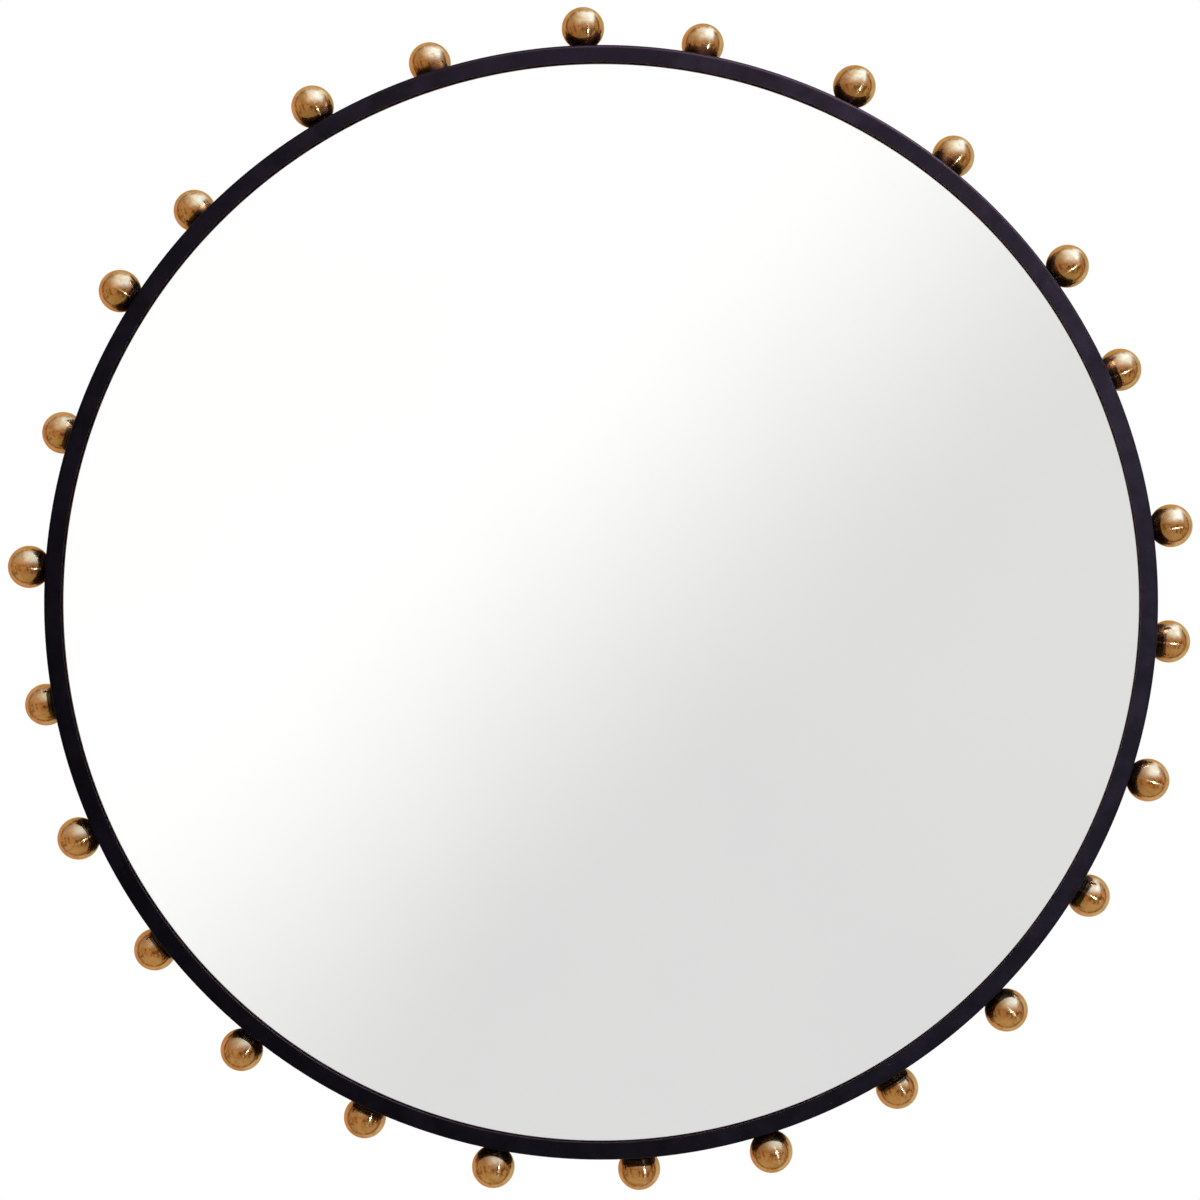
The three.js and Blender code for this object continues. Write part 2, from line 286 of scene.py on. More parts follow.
class Surface(Graph):
    """A material's graph, with its Principled shader ready."""

    def __init__(self, material: bpy.types.Material) -> None:
        """Starts the graph of a material.

        Args:
            material: The material to fill.
        """
        material.use_nodes = True
        super().__init__(material.node_tree)
        self.shader = self.node("ShaderNodeBsdfPrincipled")
        output = self.node("ShaderNodeOutputMaterial")
        self.tree.links.new(self.shader.outputs["BSDF"], output.inputs["Surface"])
        self.place = self.node("ShaderNodeTexCoord").outputs["Object"]

    def set(self, **values: object) -> None:
        """Sets or links the shader's inputs; an underscore stands for a space."""
        for name, value in values.items():
            self.feed(self.shader.inputs[name.replace("_", " ")], value)

    def bump(self, height: Socket, depth: float, under: Socket | None = None) -> Socket:
        """Raises the surface by a pattern.

        Args:
            height: The pattern, 0 to 1.
            depth: The relief's real depth in metres.
            under: A normal to add to.

        Returns:
            The normal's socket.
        """
        made = self.node("ShaderNodeBump")
        made.inputs["Strength"].default_value = 1.0
        made.inputs["Distance"].default_value = depth
        self.feed(made.inputs["Height"], height)
        if under is not None:
            self.feed(made.inputs["Normal"], under)
        return made.outputs["Normal"]

    def cells(self, scale: float, **settings: str) -> bpy.types.Node:
        """Adds a pattern of cells.

        Args:
            scale: Cells per metre.
            settings: The Voronoi node's options.

        Returns:
            The node.
        """
        made = self.node("ShaderNodeTexVoronoi", feature="F1", **settings)
        self.feed(made.inputs["Vector"], self.place)
        made.inputs["Scale"].default_value = scale
        return made

    def eased_edges(self, radius: float) -> Socket:
        """A normal that rounds a solid's sharp edges.

        Args:
            radius: The edge radius in metres.

        Returns:
            The normal's socket.
        """
        made = self.node("ShaderNodeBevel", samples=4)
        made.inputs["Radius"].default_value = radius
        return made.outputs["Normal"]


# ---- Finishes ----------------------------------------------------------------------------


@dataclass(frozen=True)
class Finish:
    """A surface finish and the record slot that it belongs to."""

    name: str
    slot: Slot

    def paint(self, surface: Surface) -> None:
        """Fills the material's graph; each finish has its own."""
        raise NotImplementedError

    def material(self) -> bpy.types.Material:
        """The finish's material, made once.

        Returns:
            The material.
        """
        found = bpy.data.materials.get(self.name)
        if found is None:
            found = bpy.data.materials.new(self.name)
            self.paint(Surface(found))
        return found

    def dress(self, piece: bpy.types.Object) -> bpy.types.Object:
        """Gives a piece this finish.

        Args:
            piece: The mesh object.

        Returns:
            The same piece.
        """
        piece.data.materials.clear()
        piece.data.materials.append(self.material())
        return piece


@dataclass(frozen=True)
class BlackSteel(Finish):
    """Near-black patina under a soft lacquer, rubbed to brown on the sight edge."""

    name: str = "black_patina_steel"
    slot: Slot = Slot.BLACK_STEEL
    dark: Colour = (0.0119, 0.0106, 0.0163)
    worn: Colour = (0.0207, 0.0167, 0.0277)
    rubbed: Colour = (0.060, 0.026, 0.028)
    dust: Colour = (0.20, 0.19, 0.20)
    sheen_tint: Colour = (1.0, 0.54, 0.84)
    sheen: float = 0.012
    roughness: Point = (0.38, 0.46)
    peel_roughness: Point = (-0.03, 0.03)
    sight_edge: Point = (478.2 * MM, 478.5 * MM)
    front_lip: Point = (-74.0 * MM, -72.0 * MM)
    patina: Cloud = Cloud(34.0, 6.0, 0.62, 0.4)
    patina_span: Point = (0.35, 0.72)
    peel: Cloud = Cloud(420.0, 4.0, 0.6)
    rubs: Cloud = Cloud(95.0, 4.0, 0.6)
    rubs_span: Point = (0.36, 0.62)
    rubs_share: Point = (0.75, 1.0)
    motes: Cloud = Cloud(1500.0, 1.0, 0.3)
    motes_span: Point = (0.775, 0.80)
    peel_depth: float = 0.012 * MM
    patina_depth: float = 0.05 * MM
    eased: float = 0.35 * MM

    def paint(self, surface: Surface) -> None:
        """Clouded patina with a fine orange peel and a rubbed sight edge.

        Args:
            surface: The graph to fill.
        """
        place = surface.place
        cloud = surface.noise(place, self.patina)
        fine = surface.noise(place, self.peel)
        patina = surface.mix(surface.spread(cloud, self.patina_span), self.dark, self.worn)
        radius = surface.vector("LENGTH", surface.vector("MULTIPLY", place, IN_THE_WALL_PLANE))
        edge = surface.all_of(
            surface.spread(radius, self.sight_edge, FADE),
            surface.spread(surface.axes(place)["Y"], self.front_lip, FADE),
            surface.spread(surface.noise(place, self.rubs), self.rubs_span, self.rubs_share),
        )
        motes = surface.spread(surface.noise(place, self.motes), self.motes_span)
        roughness = surface.math(
            "ADD", surface.spread(cloud, MIDDLING, self.roughness),
            surface.spread(fine, MIDDLING, self.peel_roughness),
        )
        peel = surface.bump(fine, self.peel_depth, surface.eased_edges(self.eased))
        surface.set(
            Base_Color=surface.mix(motes, surface.mix(edge, patina, self.rubbed), self.dust),
            Roughness=roughness, Specular_IOR_Level=self.sheen, Specular_Tint=self.sheen_tint,
            Normal=surface.bump(cloud, self.patina_depth, peel),
        )


@dataclass(frozen=True)
class AgedBrass(Finish):
    """Turned and polished solid brass gone warm with age.

    Polishing lines run round each stud, so a lamp's reflection draws out along the spoke. The
    ball's foot on the rim is painted darker: partly the brown of age where a cloth can't reach,
    partly painted shade for the dark rim that the ball reflects there.
    """

    name: str = "aged_polished_brass"
    slot: Slot = Slot.AGED_BRASS
    bright: Colour = (0.70, 0.375, 0.165)
    mellow: Colour = (0.54, 0.255, 0.090)
    # Colour of the tarnish specks, and of the painted shade at the ball's foot on the rim.
    tarnish_and_shade: Colour = (0.20, 0.085, 0.028)
    edge_tint: Colour = (0.86, 0.70, 0.50)
    roughness: Point = (0.04, 0.11)
    scratch_roughness: float = 0.08
    speck_roughness: float = 0.12
    line_roughness: float = 0.25
    mottle: Cloud = Cloud(120.0, 5.0, 0.6, 0.6)
    mottle_span: Point = (0.38, 0.68)
    specks: Cloud = Cloud(900.0, 3.0, 0.7, 0.3)
    specks_span: Point = (0.66, 0.74)
    specks_share: float = 0.55
    scratches: Cloud = Cloud(1.0, 2.0)
    scratch_stretch: Corner = (2600.0, 70.0, 70.0)
    scratch_turns: tuple[Corner, ...] = ((20.0, 35.0, 10.0), (-40.0, 60.0, 75.0))
    scratch_span: Point = (0.66, 0.72)
    haze: Cloud = Cloud(260.0, 4.0, 0.65)
    haze_span: Point = (0.35, 0.75)
    lines: Cloud = Cloud(1.0, 2.0)
    lines_per_metre: float = 5200.0
    lines_drift: float = 40.0
    lines_span: Point = (0.50, 0.56)
    foot: Point = (498.5 * MM, 516.0 * MM)
    foot_share: Point = (0.55, 0.0)
    foot_edge_wander: float = 16.0 * MM
    hand_polish: Cloud = Cloud(150.0)
    polish_depth: float = 0.09 * MM
    pits: Cloud = Cloud(640.0, 3.0, 0.6)
    pit_depth: float = 0.010 * MM
    scratch_depth: float = 0.004 * MM

    def paint(self, surface: Surface) -> None:
        """Mottled colour, a foot darkened by patina and painted shade, polishing lines, faint
        scratches and tarnish specks.

        Args:
            surface: The graph to fill.
        """
        place = surface.place
        mottle = surface.noise(place, self.mottle)
        specks = surface.spread(surface.noise(place, self.specks), self.specks_span)
        scratches = self.scratched(surface)
        flat = surface.vector("MULTIPLY", place, IN_THE_WALL_PLANE)
        reach = surface.vector("LENGTH", flat)
        # The ball's side towards the rim takes the tarnish colour: partly the brown of age where a
        # cloth can't reach, partly painted shade for the dark rim that the ball reflects there.
        edge_wander = surface.math("MULTIPLY", surface.math("SUBTRACT", mottle, 0.5), self.foot_edge_wander)
        foot = surface.spread(surface.math("ADD", reach, edge_wander), self.foot, self.foot_share)
        colour = surface.mix(surface.spread(mottle, self.mottle_span), self.bright, self.mellow)
        for mask in (surface.math("MULTIPLY", specks, self.specks_share), foot):
            colour = surface.mix(mask, colour, self.tarnish_and_shade)
        roughness = surface.spread(surface.noise(place, self.haze), self.haze_span, self.roughness)
        for mark, added in ((scratches, self.scratch_roughness), (specks, self.speck_roughness)):
            roughness = surface.math("ADD", roughness, surface.math("MULTIPLY", mark, added))
        lines = surface.math("MULTIPLY", self.polishing_lines(surface, reach), self.line_roughness)
        polish = surface.bump(surface.noise(place, self.hand_polish), self.polish_depth)
        pitted = surface.bump(surface.noise(place, self.pits), self.pit_depth, polish)
        surface.set(
            Base_Color=colour, Metallic=1.0, Roughness=surface.any_of(roughness, lines),
            Specular_Tint=self.edge_tint, Anisotropic=1.0,
            Tangent=surface.vector("NORMALIZE", flat),
            Normal=surface.bump(scratches, self.scratch_depth, pitted),
        )

    def scratched(self, surface: Surface) -> Socket:
        """The faint scratches, which run in a few directions.

        Args:
            surface: The graph to fill.

        Returns:
            The scratches' mask.
        """
        layers = []
        for turn in self.scratch_turns:
            grain = surface.stretched(surface.place, self.scratch_stretch, turn)
            layers.append(surface.spread(surface.noise(grain, self.scratches), self.scratch_span))
        return surface.any_of(*layers)

    def polishing_lines(self, surface: Surface, reach: Socket) -> Socket:
        """Fine lines round the stud; every stud points at the mirror's middle.

        Args:
            surface: The graph to fill.
            reach: The distance from the mirror's middle, which is the distance along the stud.

        Returns:
            The lines' mask.
        """
        level = surface.node("ShaderNodeCombineXYZ")
        surface.feed(level.inputs["X"], surface.math("MULTIPLY", reach, self.lines_per_metre))
        drift = (self.lines_drift,) * 3
        slow = surface.vector("MULTIPLY", surface.place, drift)
        grain = surface.vector("ADD", level.outputs["Vector"], slow)
        return surface.spread(surface.noise(grain, self.lines), self.lines_span)


@dataclass(frozen=True)
class ClearGlass(Finish):
    """The plate of clear float glass in front of the silver."""

    name: str = "clear_float_glass"
    slot: Slot = Slot.MIRROR
    tint: Colour = (0.997, 1.0, 0.998)
    index: float = 1.52
    wipes: Cloud = Cloud(2.0, 5.0, 0.6, 0.8)
    wipe_stretch: Corner = (3.0, 3.0, 9.0)
    wipe_turn: Corner = (0.0, 28.0, 0.0)
    wipe_span: Point = (0.62, 0.85)
    roughness: Point = (0.0, 0.006)

    def paint(self, surface: Surface) -> None:
        """Clear glass with a trace of wiping haze.

        Args:
            surface: The graph to fill.
        """
        wipe = surface.stretched(surface.place, self.wipe_stretch, self.wipe_turn)
        haze = surface.spread(surface.noise(wipe, self.wipes), self.wipe_span, self.roughness)
        surface.set(
            Base_Color=self.tint, Roughness=haze, IOR=self.index, Transmission_Weight=1.0
        )


@dataclass(frozen=True)
class Silvering(Finish):
    """The silver coat behind the glass."""

    name: str = "mirror_silver"
    slot: Slot = Slot.MIRROR
    bright: Colour = (0.965, 0.968, 0.966)
    dim: Colour = (0.955, 0.958, 0.958)
    clouding: Cloud = Cloud(5.0)
    clouding_span: Point = (0.35, 0.65)

    def paint(self, surface: Surface) -> None:
        """Near-perfect silver with the faintest clouding.

        Args:
            surface: The graph to fill.
        """
        dimmed = surface.spread(surface.noise(surface.place, self.clouding), self.clouding_span)
        surface.set(
            Base_Color=surface.mix(dimmed, self.bright, self.dim), Metallic=1.0, Roughness=0.0
        )


@dataclass(frozen=True)
class Hardboard(Finish):
    """Pressed brown fibreboard."""

    name: str = "pressed_hardboard"
    slot: Slot = Slot.HARDBOARD
    light: Colour = (0.178, 0.101, 0.053)
    dark: Colour = (0.146, 0.080, 0.041)
    fleck: Colour = (0.27, 0.175, 0.105)
    blotches: Cloud = Cloud(9.0, 5.0, 0.6, 0.5)
    strands: Cloud = Cloud(1.0, 3.0, 0.6, 0.5)
    strand_stretch: Corner = (900.0, 900.0, 110.0)
    strand_turns: tuple[float, ...] = (0.0, 52.0, 117.0)
    strand_span: Point = (0.60, 0.78)
    strand_share: float = 0.55
    roughness_span: Point = (0.2, 0.8)
    roughness: Point = (0.62, 0.78)
    meshes_per_metre: float = 620.0
    mesh_wander: float = 0.12
    mesh_depth: float = 0.04 * MM
    strand_depth: float = 0.05 * MM

    def paint(self, surface: Surface) -> None:
        """Matted fibres with paler flecks and a faint press mesh.

        Args:
            surface: The graph to fill.
        """
        blotch = surface.noise(surface.place, self.blotches)
        colour = surface.mix(surface.spread(blotch, MIDDLING), self.light, self.dark)
        lays = (
            surface.stretched(surface.place, self.strand_stretch, (0.0, turn, 0.0))
            for turn in self.strand_turns
        )
        fibres = surface.any_of(*(surface.noise(lay, self.strands) for lay in lays))
        shown = surface.math(
            "MULTIPLY", surface.spread(fibres, self.strand_span), self.strand_share
        )
        mesh = surface.cells(self.meshes_per_metre, distance="CHEBYCHEV")
        mesh.inputs["Randomness"].default_value = self.mesh_wander
        relief = surface.bump(fibres, self.strand_depth)
        surface.set(
            Base_Color=surface.mix(shown, colour, self.fleck),
            Roughness=surface.spread(blotch, self.roughness_span, self.roughness),
            Normal=surface.bump(mesh.outputs["Distance"], self.mesh_depth, relief),
        )


@dataclass(frozen=True)
class ZincPlate(Finish):
    """Bright zinc-plated steel with faint yellow and blue passivation."""

    name: str = "zinc_plated_steel"
    slot: Slot = Slot.ZINC_STEEL
    silver: Colour = (0.56, 0.57, 0.57)
    yellow: Colour = (0.58, 0.52, 0.38)
    blue: Colour = (0.44, 0.50, 0.57)
    drift: Cloud = Cloud(60.0, 3.0, 0.5, 1.2)
    yellow_span: Point = (0.50, 0.75)
    blue_span: Point = (0.45, 0.25)
    scuffs: Cloud = Cloud(700.0, 4.0, 0.7)
    scuff_span: Point = (0.35, 0.7)
    roughness: Point = (0.26, 0.42)
    rolled: Cloud = Cloud(1.0, 2.0)
    rolled_stretch: Corner = (1500.0, 1500.0, 120.0)
    rolled_depth: float = 0.006 * MM
    eased: float = 0.2 * MM

    def paint(self, surface: Surface) -> None:
        """Drifting tints, tumbled scuffs and a brushed roll mark.

        Args:
            surface: The graph to fill.
        """
        place = surface.place
        drift = surface.noise(place, self.drift)
        colour = surface.mix(surface.spread(drift, self.yellow_span), self.silver, self.yellow)
        scuffs = surface.noise(place, self.scuffs)
        rolled = surface.noise(surface.stretched(place, self.rolled_stretch), self.rolled)
        surface.set(
            Base_Color=surface.mix(surface.spread(drift, self.blue_span), colour, self.blue),
            Metallic=1.0, Roughness=surface.spread(scuffs, self.scuff_span, self.roughness),
            Normal=surface.bump(rolled, self.rolled_depth, surface.eased_edges(self.eased)),
        )


@dataclass(frozen=True)
class MouldedRubber(Finish):
    """Black moulded rubber with a dull bloom."""

    name: str = "moulded_rubber"
    slot: Slot = Slot.RUBBER
    black: Colour = (0.011, 0.011, 0.012)
    bloom: Colour = (0.030, 0.030, 0.031)
    patches: Cloud = Cloud(160.0, 4.0, 0.6)
    patches_span: Point = (0.4, 0.7)
    roughness: Point = (0.58, 0.78)
    grain: Cloud = Cloud(2400.0, 2.0)
    grain_depth: float = 0.03 * MM

    def paint(self, surface: Surface) -> None:
        """Spark-eroded grain with a patchy bloom.

        Args:
            surface: The graph to fill.
        """
        bloom = surface.spread(surface.noise(surface.place, self.patches), self.patches_span)
        grain = surface.noise(surface.place, self.grain)
        surface.set(
            Base_Color=surface.mix(bloom, self.black, self.bloom),
            Roughness=surface.spread(bloom, (0.0, 1.0), self.roughness),
            Normal=surface.bump(grain, self.grain_depth),
        )


@dataclass(frozen=True)
class CellFoam(Finish):
    """Black closed-cell foam tape."""

    name: str = "closed_cell_foam"
    slot: Slot = Slot.FOAM
    skin: Colour = (0.022, 0.022, 0.024)
    cell_hollow_shade: Colour = (0.008, 0.008, 0.009)
    cells_per_metre: float = 2200.0
    wall_span: Point = (0.15, 0.6)
    roughness: float = 0.92
    cell_depth: float = 0.08 * MM

    def paint(self, surface: Surface) -> None:
        """Small round cells in a matt skin, painted darker in their hollows as shade.

        Args:
            surface: The graph to fill.
        """
        cells = surface.cells(self.cells_per_metre)
        wall = surface.spread(cells.outputs["Distance"], self.wall_span)
        # The cells' hollows get the darker colour: painted shade in the recesses, not a different
        # material.
        surface.set(
            Base_Color=surface.mix(wall, self.cell_hollow_shade, self.skin), Roughness=self.roughness,
            Normal=surface.bump(wall, self.cell_depth),
        )


# ---- Meshes ------------------------------------------------------------------------------


def arc(centre: Point, radius: float, start: float, stop: float, steps: int) -> list[Point]:
    """Points on an arc of some chords, both ends included, from start to stop in degrees."""
    angles = (math.radians(start + (stop - start) * i / steps) for i in range(steps + 1))
    return [(centre[0] + radius * math.cos(a), centre[1] + radius * math.sin(a)) for a in angles]


def rounded(corners: Sequence[Corner], closed: bool = True, steps: int = 4) -> list[Point]:
    """An outline whose corners are rounded, each by its own radius.

    A guard point on each side of a rounded corner keeps the flats flat in smooth shading.

    Args:
        corners: Corners as (x, y, radius).
        closed: Whether the outline joins up.
        steps: Chords in each rounded corner.

    Returns:
        The outline's points.
    """
    points: list[Point] = []
    count = len(corners)
    for i, (x, y, radius) in enumerate(corners):
        is_end = not closed and i in (0, count - 1)
        if radius <= 0.0 or is_end:
            points.append((x, y))
            continue
        here = Vector((x, y))
        back = (Vector(corners[i - 1][:2]) - here).normalized()
        ahead = (Vector(corners[(i + 1) % count][:2]) - here).normalized()
        half = back.angle(ahead) / 2
        setback = radius / math.tan(half)
        start, stop = here + back * setback, here + ahead * setback
        centre = here + (back + ahead).normalized() * (radius / math.sin(half))
        first, last = start - centre, stop - centre
        sweep = first.angle_signed(last)
        guard = GUARD * setback
        if guard * 2 < (Vector(corners[i - 1][:2]) - here).length:
            points.append(tuple(here + back * guard))
        for step in range(steps + 1):
            turned = first.copy()
            turned.rotate(Matrix.Rotation(-sweep * step / steps, 2))
            points.append(tuple(centre + turned))
        if guard * 2 < (Vector(corners[(i + 1) % count][:2]) - here).length:
            points.append(tuple(here + ahead * guard))
    return points


def finish_mesh(name: str, work: bmesh.types.BMesh, sharp: float = SHARP) -> bpy.types.Object:
    """Turns a work mesh into a smooth-shaded object with sharp creases kept.

    Args:
        name: The object's name.
        work: The work mesh, which is freed.
        sharp: Edges sharper than this many degrees stay crisp.

    Returns:
        The linked object.
    """
    bmesh.ops.remove_doubles(work, verts=work.verts, dist=1e-7)
    bmesh.ops.recalc_face_normals(work, faces=work.faces)
    mesh = bpy.data.meshes.new(name)
    work.to_mesh(mesh)
    work.free()
    mesh.shade_smooth()
    mesh.set_sharp_from_angle(angle=math.radians(sharp))
    piece = bpy.data.objects.new(name, mesh)
    bpy.context.scene.collection.objects.link(piece)
    return piece


def add_revolved(
    work: bmesh.types.BMesh, profile: Sequence[Point], segments: int, ring: bool = False
) -> list[bmesh.types.BMVert]:
    """Adds a body turned about the local Z axis.

    Args:
        work: The work mesh.
        profile: Points as (radius, height); a disc's profile starts and ends on the axis.
        segments: Steps round the axis.
        ring: Whether the profile joins up with itself.

    Returns:
        The new vertices.
    """
    made: list[bmesh.types.BMVert] = []
    columns: list[list[bmesh.types.BMVert]] = []
    for radius, height in profile:
        if radius < 1e-9:
            column = [work.verts.new((0.0, 0.0, height))]
        else:
            turns = (2 * math.pi * i / segments for i in range(segments))
            column = [
                work.verts.new((radius * math.cos(t), radius * math.sin(t), height)) for t in turns
            ]
        made.extend(column)
        columns.append(column)
    pairs = list(zip(columns, columns[1:]))
    if ring:
        pairs.append((columns[-1], columns[0]))
    for low, high in pairs:
        for i in range(segments):
            j = (i + 1) % segments
            loop = [low[i % len(low)], low[j % len(low)], high[j % len(high)], high[i % len(high)]]
            corners = list(dict.fromkeys(loop))
            if len(corners) > 2:
                work.faces.new(corners)
    return made


def add_swept(
    work: bmesh.types.BMesh, sections: Sequence[Sequence[Vector]], closed: bool = False
) -> None:
    """Adds a body skinned over a row of sections with equal numbers of points.

    Args:
        work: The work mesh.
        sections: The sections' points, in order.
        closed: Whether the row joins up with itself.
    """
    rings = [[work.verts.new(point) for point in section] for section in sections]
    pairs = list(zip(rings, rings[1:]))
    if closed:
        pairs.append((rings[-1], rings[0]))
    for low, high in pairs:
        size = len(low)
        for i in range(size):
            j = (i + 1) % size
            work.faces.new((low[i], low[j], high[j], high[i]))
    if not closed:
        work.faces.new(rings[0])
        work.faces.new(rings[-1])


def carve(piece: bpy.types.Object, cutter: bpy.types.Object) -> None:
    """Cuts one mesh out of another and deletes the cutter.

    Args:
        piece: The mesh to cut.
        cutter: The mesh to take away.
    """
    cut = piece.modifiers.new("cut", "BOOLEAN")
    cut.operation = "DIFFERENCE"
    cut.solver = "EXACT"
    cut.object = cutter
    bpy.context.view_layer.update()
    seen = piece.evaluated_get(bpy.context.evaluated_depsgraph_get())
    result = bpy.data.meshes.new_from_object(seen)
    piece.modifiers.clear()
    piece.data = result
    bpy.data.objects.remove(cutter)


def strip_sections(
    path: Sequence[Point], size: Corner, tip: float, place: Callable[[float, float, float], Vector]
) -> list[list[Vector]]:
    """The cross-sections of a bent strip of sheet whose first end is rounded in plan.

    Args:
        path: The strip's middle line; its first TIP_STEPS steps are the rounded end.
        size: The strip's width, its thickness and the radius of its edges.
        tip: The rounded end's length.
        place: Takes a point of the line's plane, and a distance across it, to the part's frame.

    Returns:
        The sections.
    """
    width, thickness, edge = size
    thick = thickness / 2
    made = []
    for i, (u, v) in enumerate(path):
        before, after = path[max(i - 1, 0)], path[min(i + 1, len(path) - 1)]
        along = Vector((after[0] - before[0], after[1] - before[1])).normalized()
        to_full = 1.0 - min(1.0, i / TIP_STEPS)
        half = width / 2 - tip * TIP_FULLNESS * (1.0 - math.sqrt(1.0 - to_full**2))
        rim = rounded([
            (-half, -thick, edge), (half, -thick, edge), (half, thick, edge), (-half, thick, edge),
        ], steps=2)
        made.append([place(u - along.y * off, v + along.x * off, across) for across, off in rim])
    return made


def middle_of(node: str) -> Vector:
    """The middle of a solid's box."""
    return sum(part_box(node), Vector()) / 2


def facing_wall(x: float, y: float, z: float) -> Matrix:
    """A local frame at a point, whose Z points at the wall."""
    return Matrix.Translation((x, y, z)) @ Matrix.Rotation(math.radians(-90.0), 4, "X")


@dataclass(frozen=True)
class Spoke:
    """A direction out from the mirror's centre, at an angle from the right."""

    angle: float

    @classmethod
    def of_node(cls, node: str) -> "Spoke":
        """The spoke that a solid lies on.

        Args:
            node: The solid's name.

        Returns:
            The spoke through the middle of its points.
        """
        points = [vertex.co for vertex in frame["nodes"][node].data.vertices]
        middle = sum(points, Vector()) / len(points)
        return cls(math.atan2(middle.z, middle.x))

    def point(self, out: float, back: float, round_: float = 0.0) -> Vector:
        """The point that far out from the centre, at a y, and off to the anticlockwise side."""
        cos, sin = math.cos(self.angle), math.sin(self.angle)
        return Vector((out * cos - round_ * sin, back, out * sin + round_ * cos))

    def reach(self, node: str) -> Point:
        """How far in and out a solid reaches along the spoke.

        Args:
            node: The solid's name.

        Returns:
            The least and the greatest distance from the centre.
        """
        out = Vector((math.cos(self.angle), 0.0, math.sin(self.angle)))
        along = [vertex.co.dot(out) for vertex in frame["nodes"][node].data.vertices]
        return min(along), max(along)

    def outward(self, out: float, back: float) -> Matrix:
        """A local frame that far out and at a y, whose Z points away from the centre."""
        turn = Matrix.Rotation(math.pi / 2 - self.angle, 4, "Y")
        return Matrix.Translation(self.point(out, back)) @ turn


def fix_to_frame(
    piece: bpy.types.Object, finish: Finish, *nodes: str, place: Matrix = Matrix()
) -> bpy.types.Object:
    """Puts a piece in its place, gives it its finish and fixes it to the frame body.

    Args:
        piece: The piece.
        finish: Its finish.
        nodes: The solids that it stands for.
        place: The matrix from the piece's local frame to the part's.

    Returns:
        The same piece.
    """
    piece.data.transform(place)
    finish.dress(piece)
    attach(piece, BODY_FRAME)
    if nodes:
        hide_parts(*nodes)
    return piece


# ---- Sub-assemblies ----------------------------------------------------------------------


@dataclass
class FrameBand:
    """The rolled steel band with its narrow face turned in."""

    face_width: float = 15.6 * MM
    sheet: float = SHEET
    corner: float = 3.0 * MM
    sight_chamfer: float = 0.5 * MM
    bend: float = 1.0 * MM
    edge: float = 0.2 * MM
    corner_steps: int = 6
    segments: int = 360
    node: str = "frame_ring"
    finish: Finish = field(default_factory=BlackSteel)

    def profile(self) -> list[Point]:
        """The band's section, rounded at its corners.

        Returns:
            The section's points as (radius, y).
        """
        low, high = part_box(self.node)
        outer, front, rear = high.x, low.y, high.y
        inner, sight = outer - self.sheet, outer - self.face_width
        back = front + self.sheet
        return rounded([
            (sight + self.sight_chamfer, front, self.edge),
            (outer, front, self.corner),
            (outer, rear, self.edge),
            (inner, rear, self.edge),
            (inner, back, self.bend),
            (sight, back, self.edge),
            (sight, front + self.sight_chamfer, self.edge),
        ], steps=self.corner_steps)

    def build(self) -> list[bpy.types.Object]:
        """Builds the band.

        Returns:
            The pieces made.
        """
        work = bmesh.new()
        add_revolved(work, self.profile(), self.segments, ring=True)
        band = finish_mesh("rim_band", work)
        return [fix_to_frame(band, self.finish, self.node, place=facing_wall(0.0, 0.0, 0.0))]


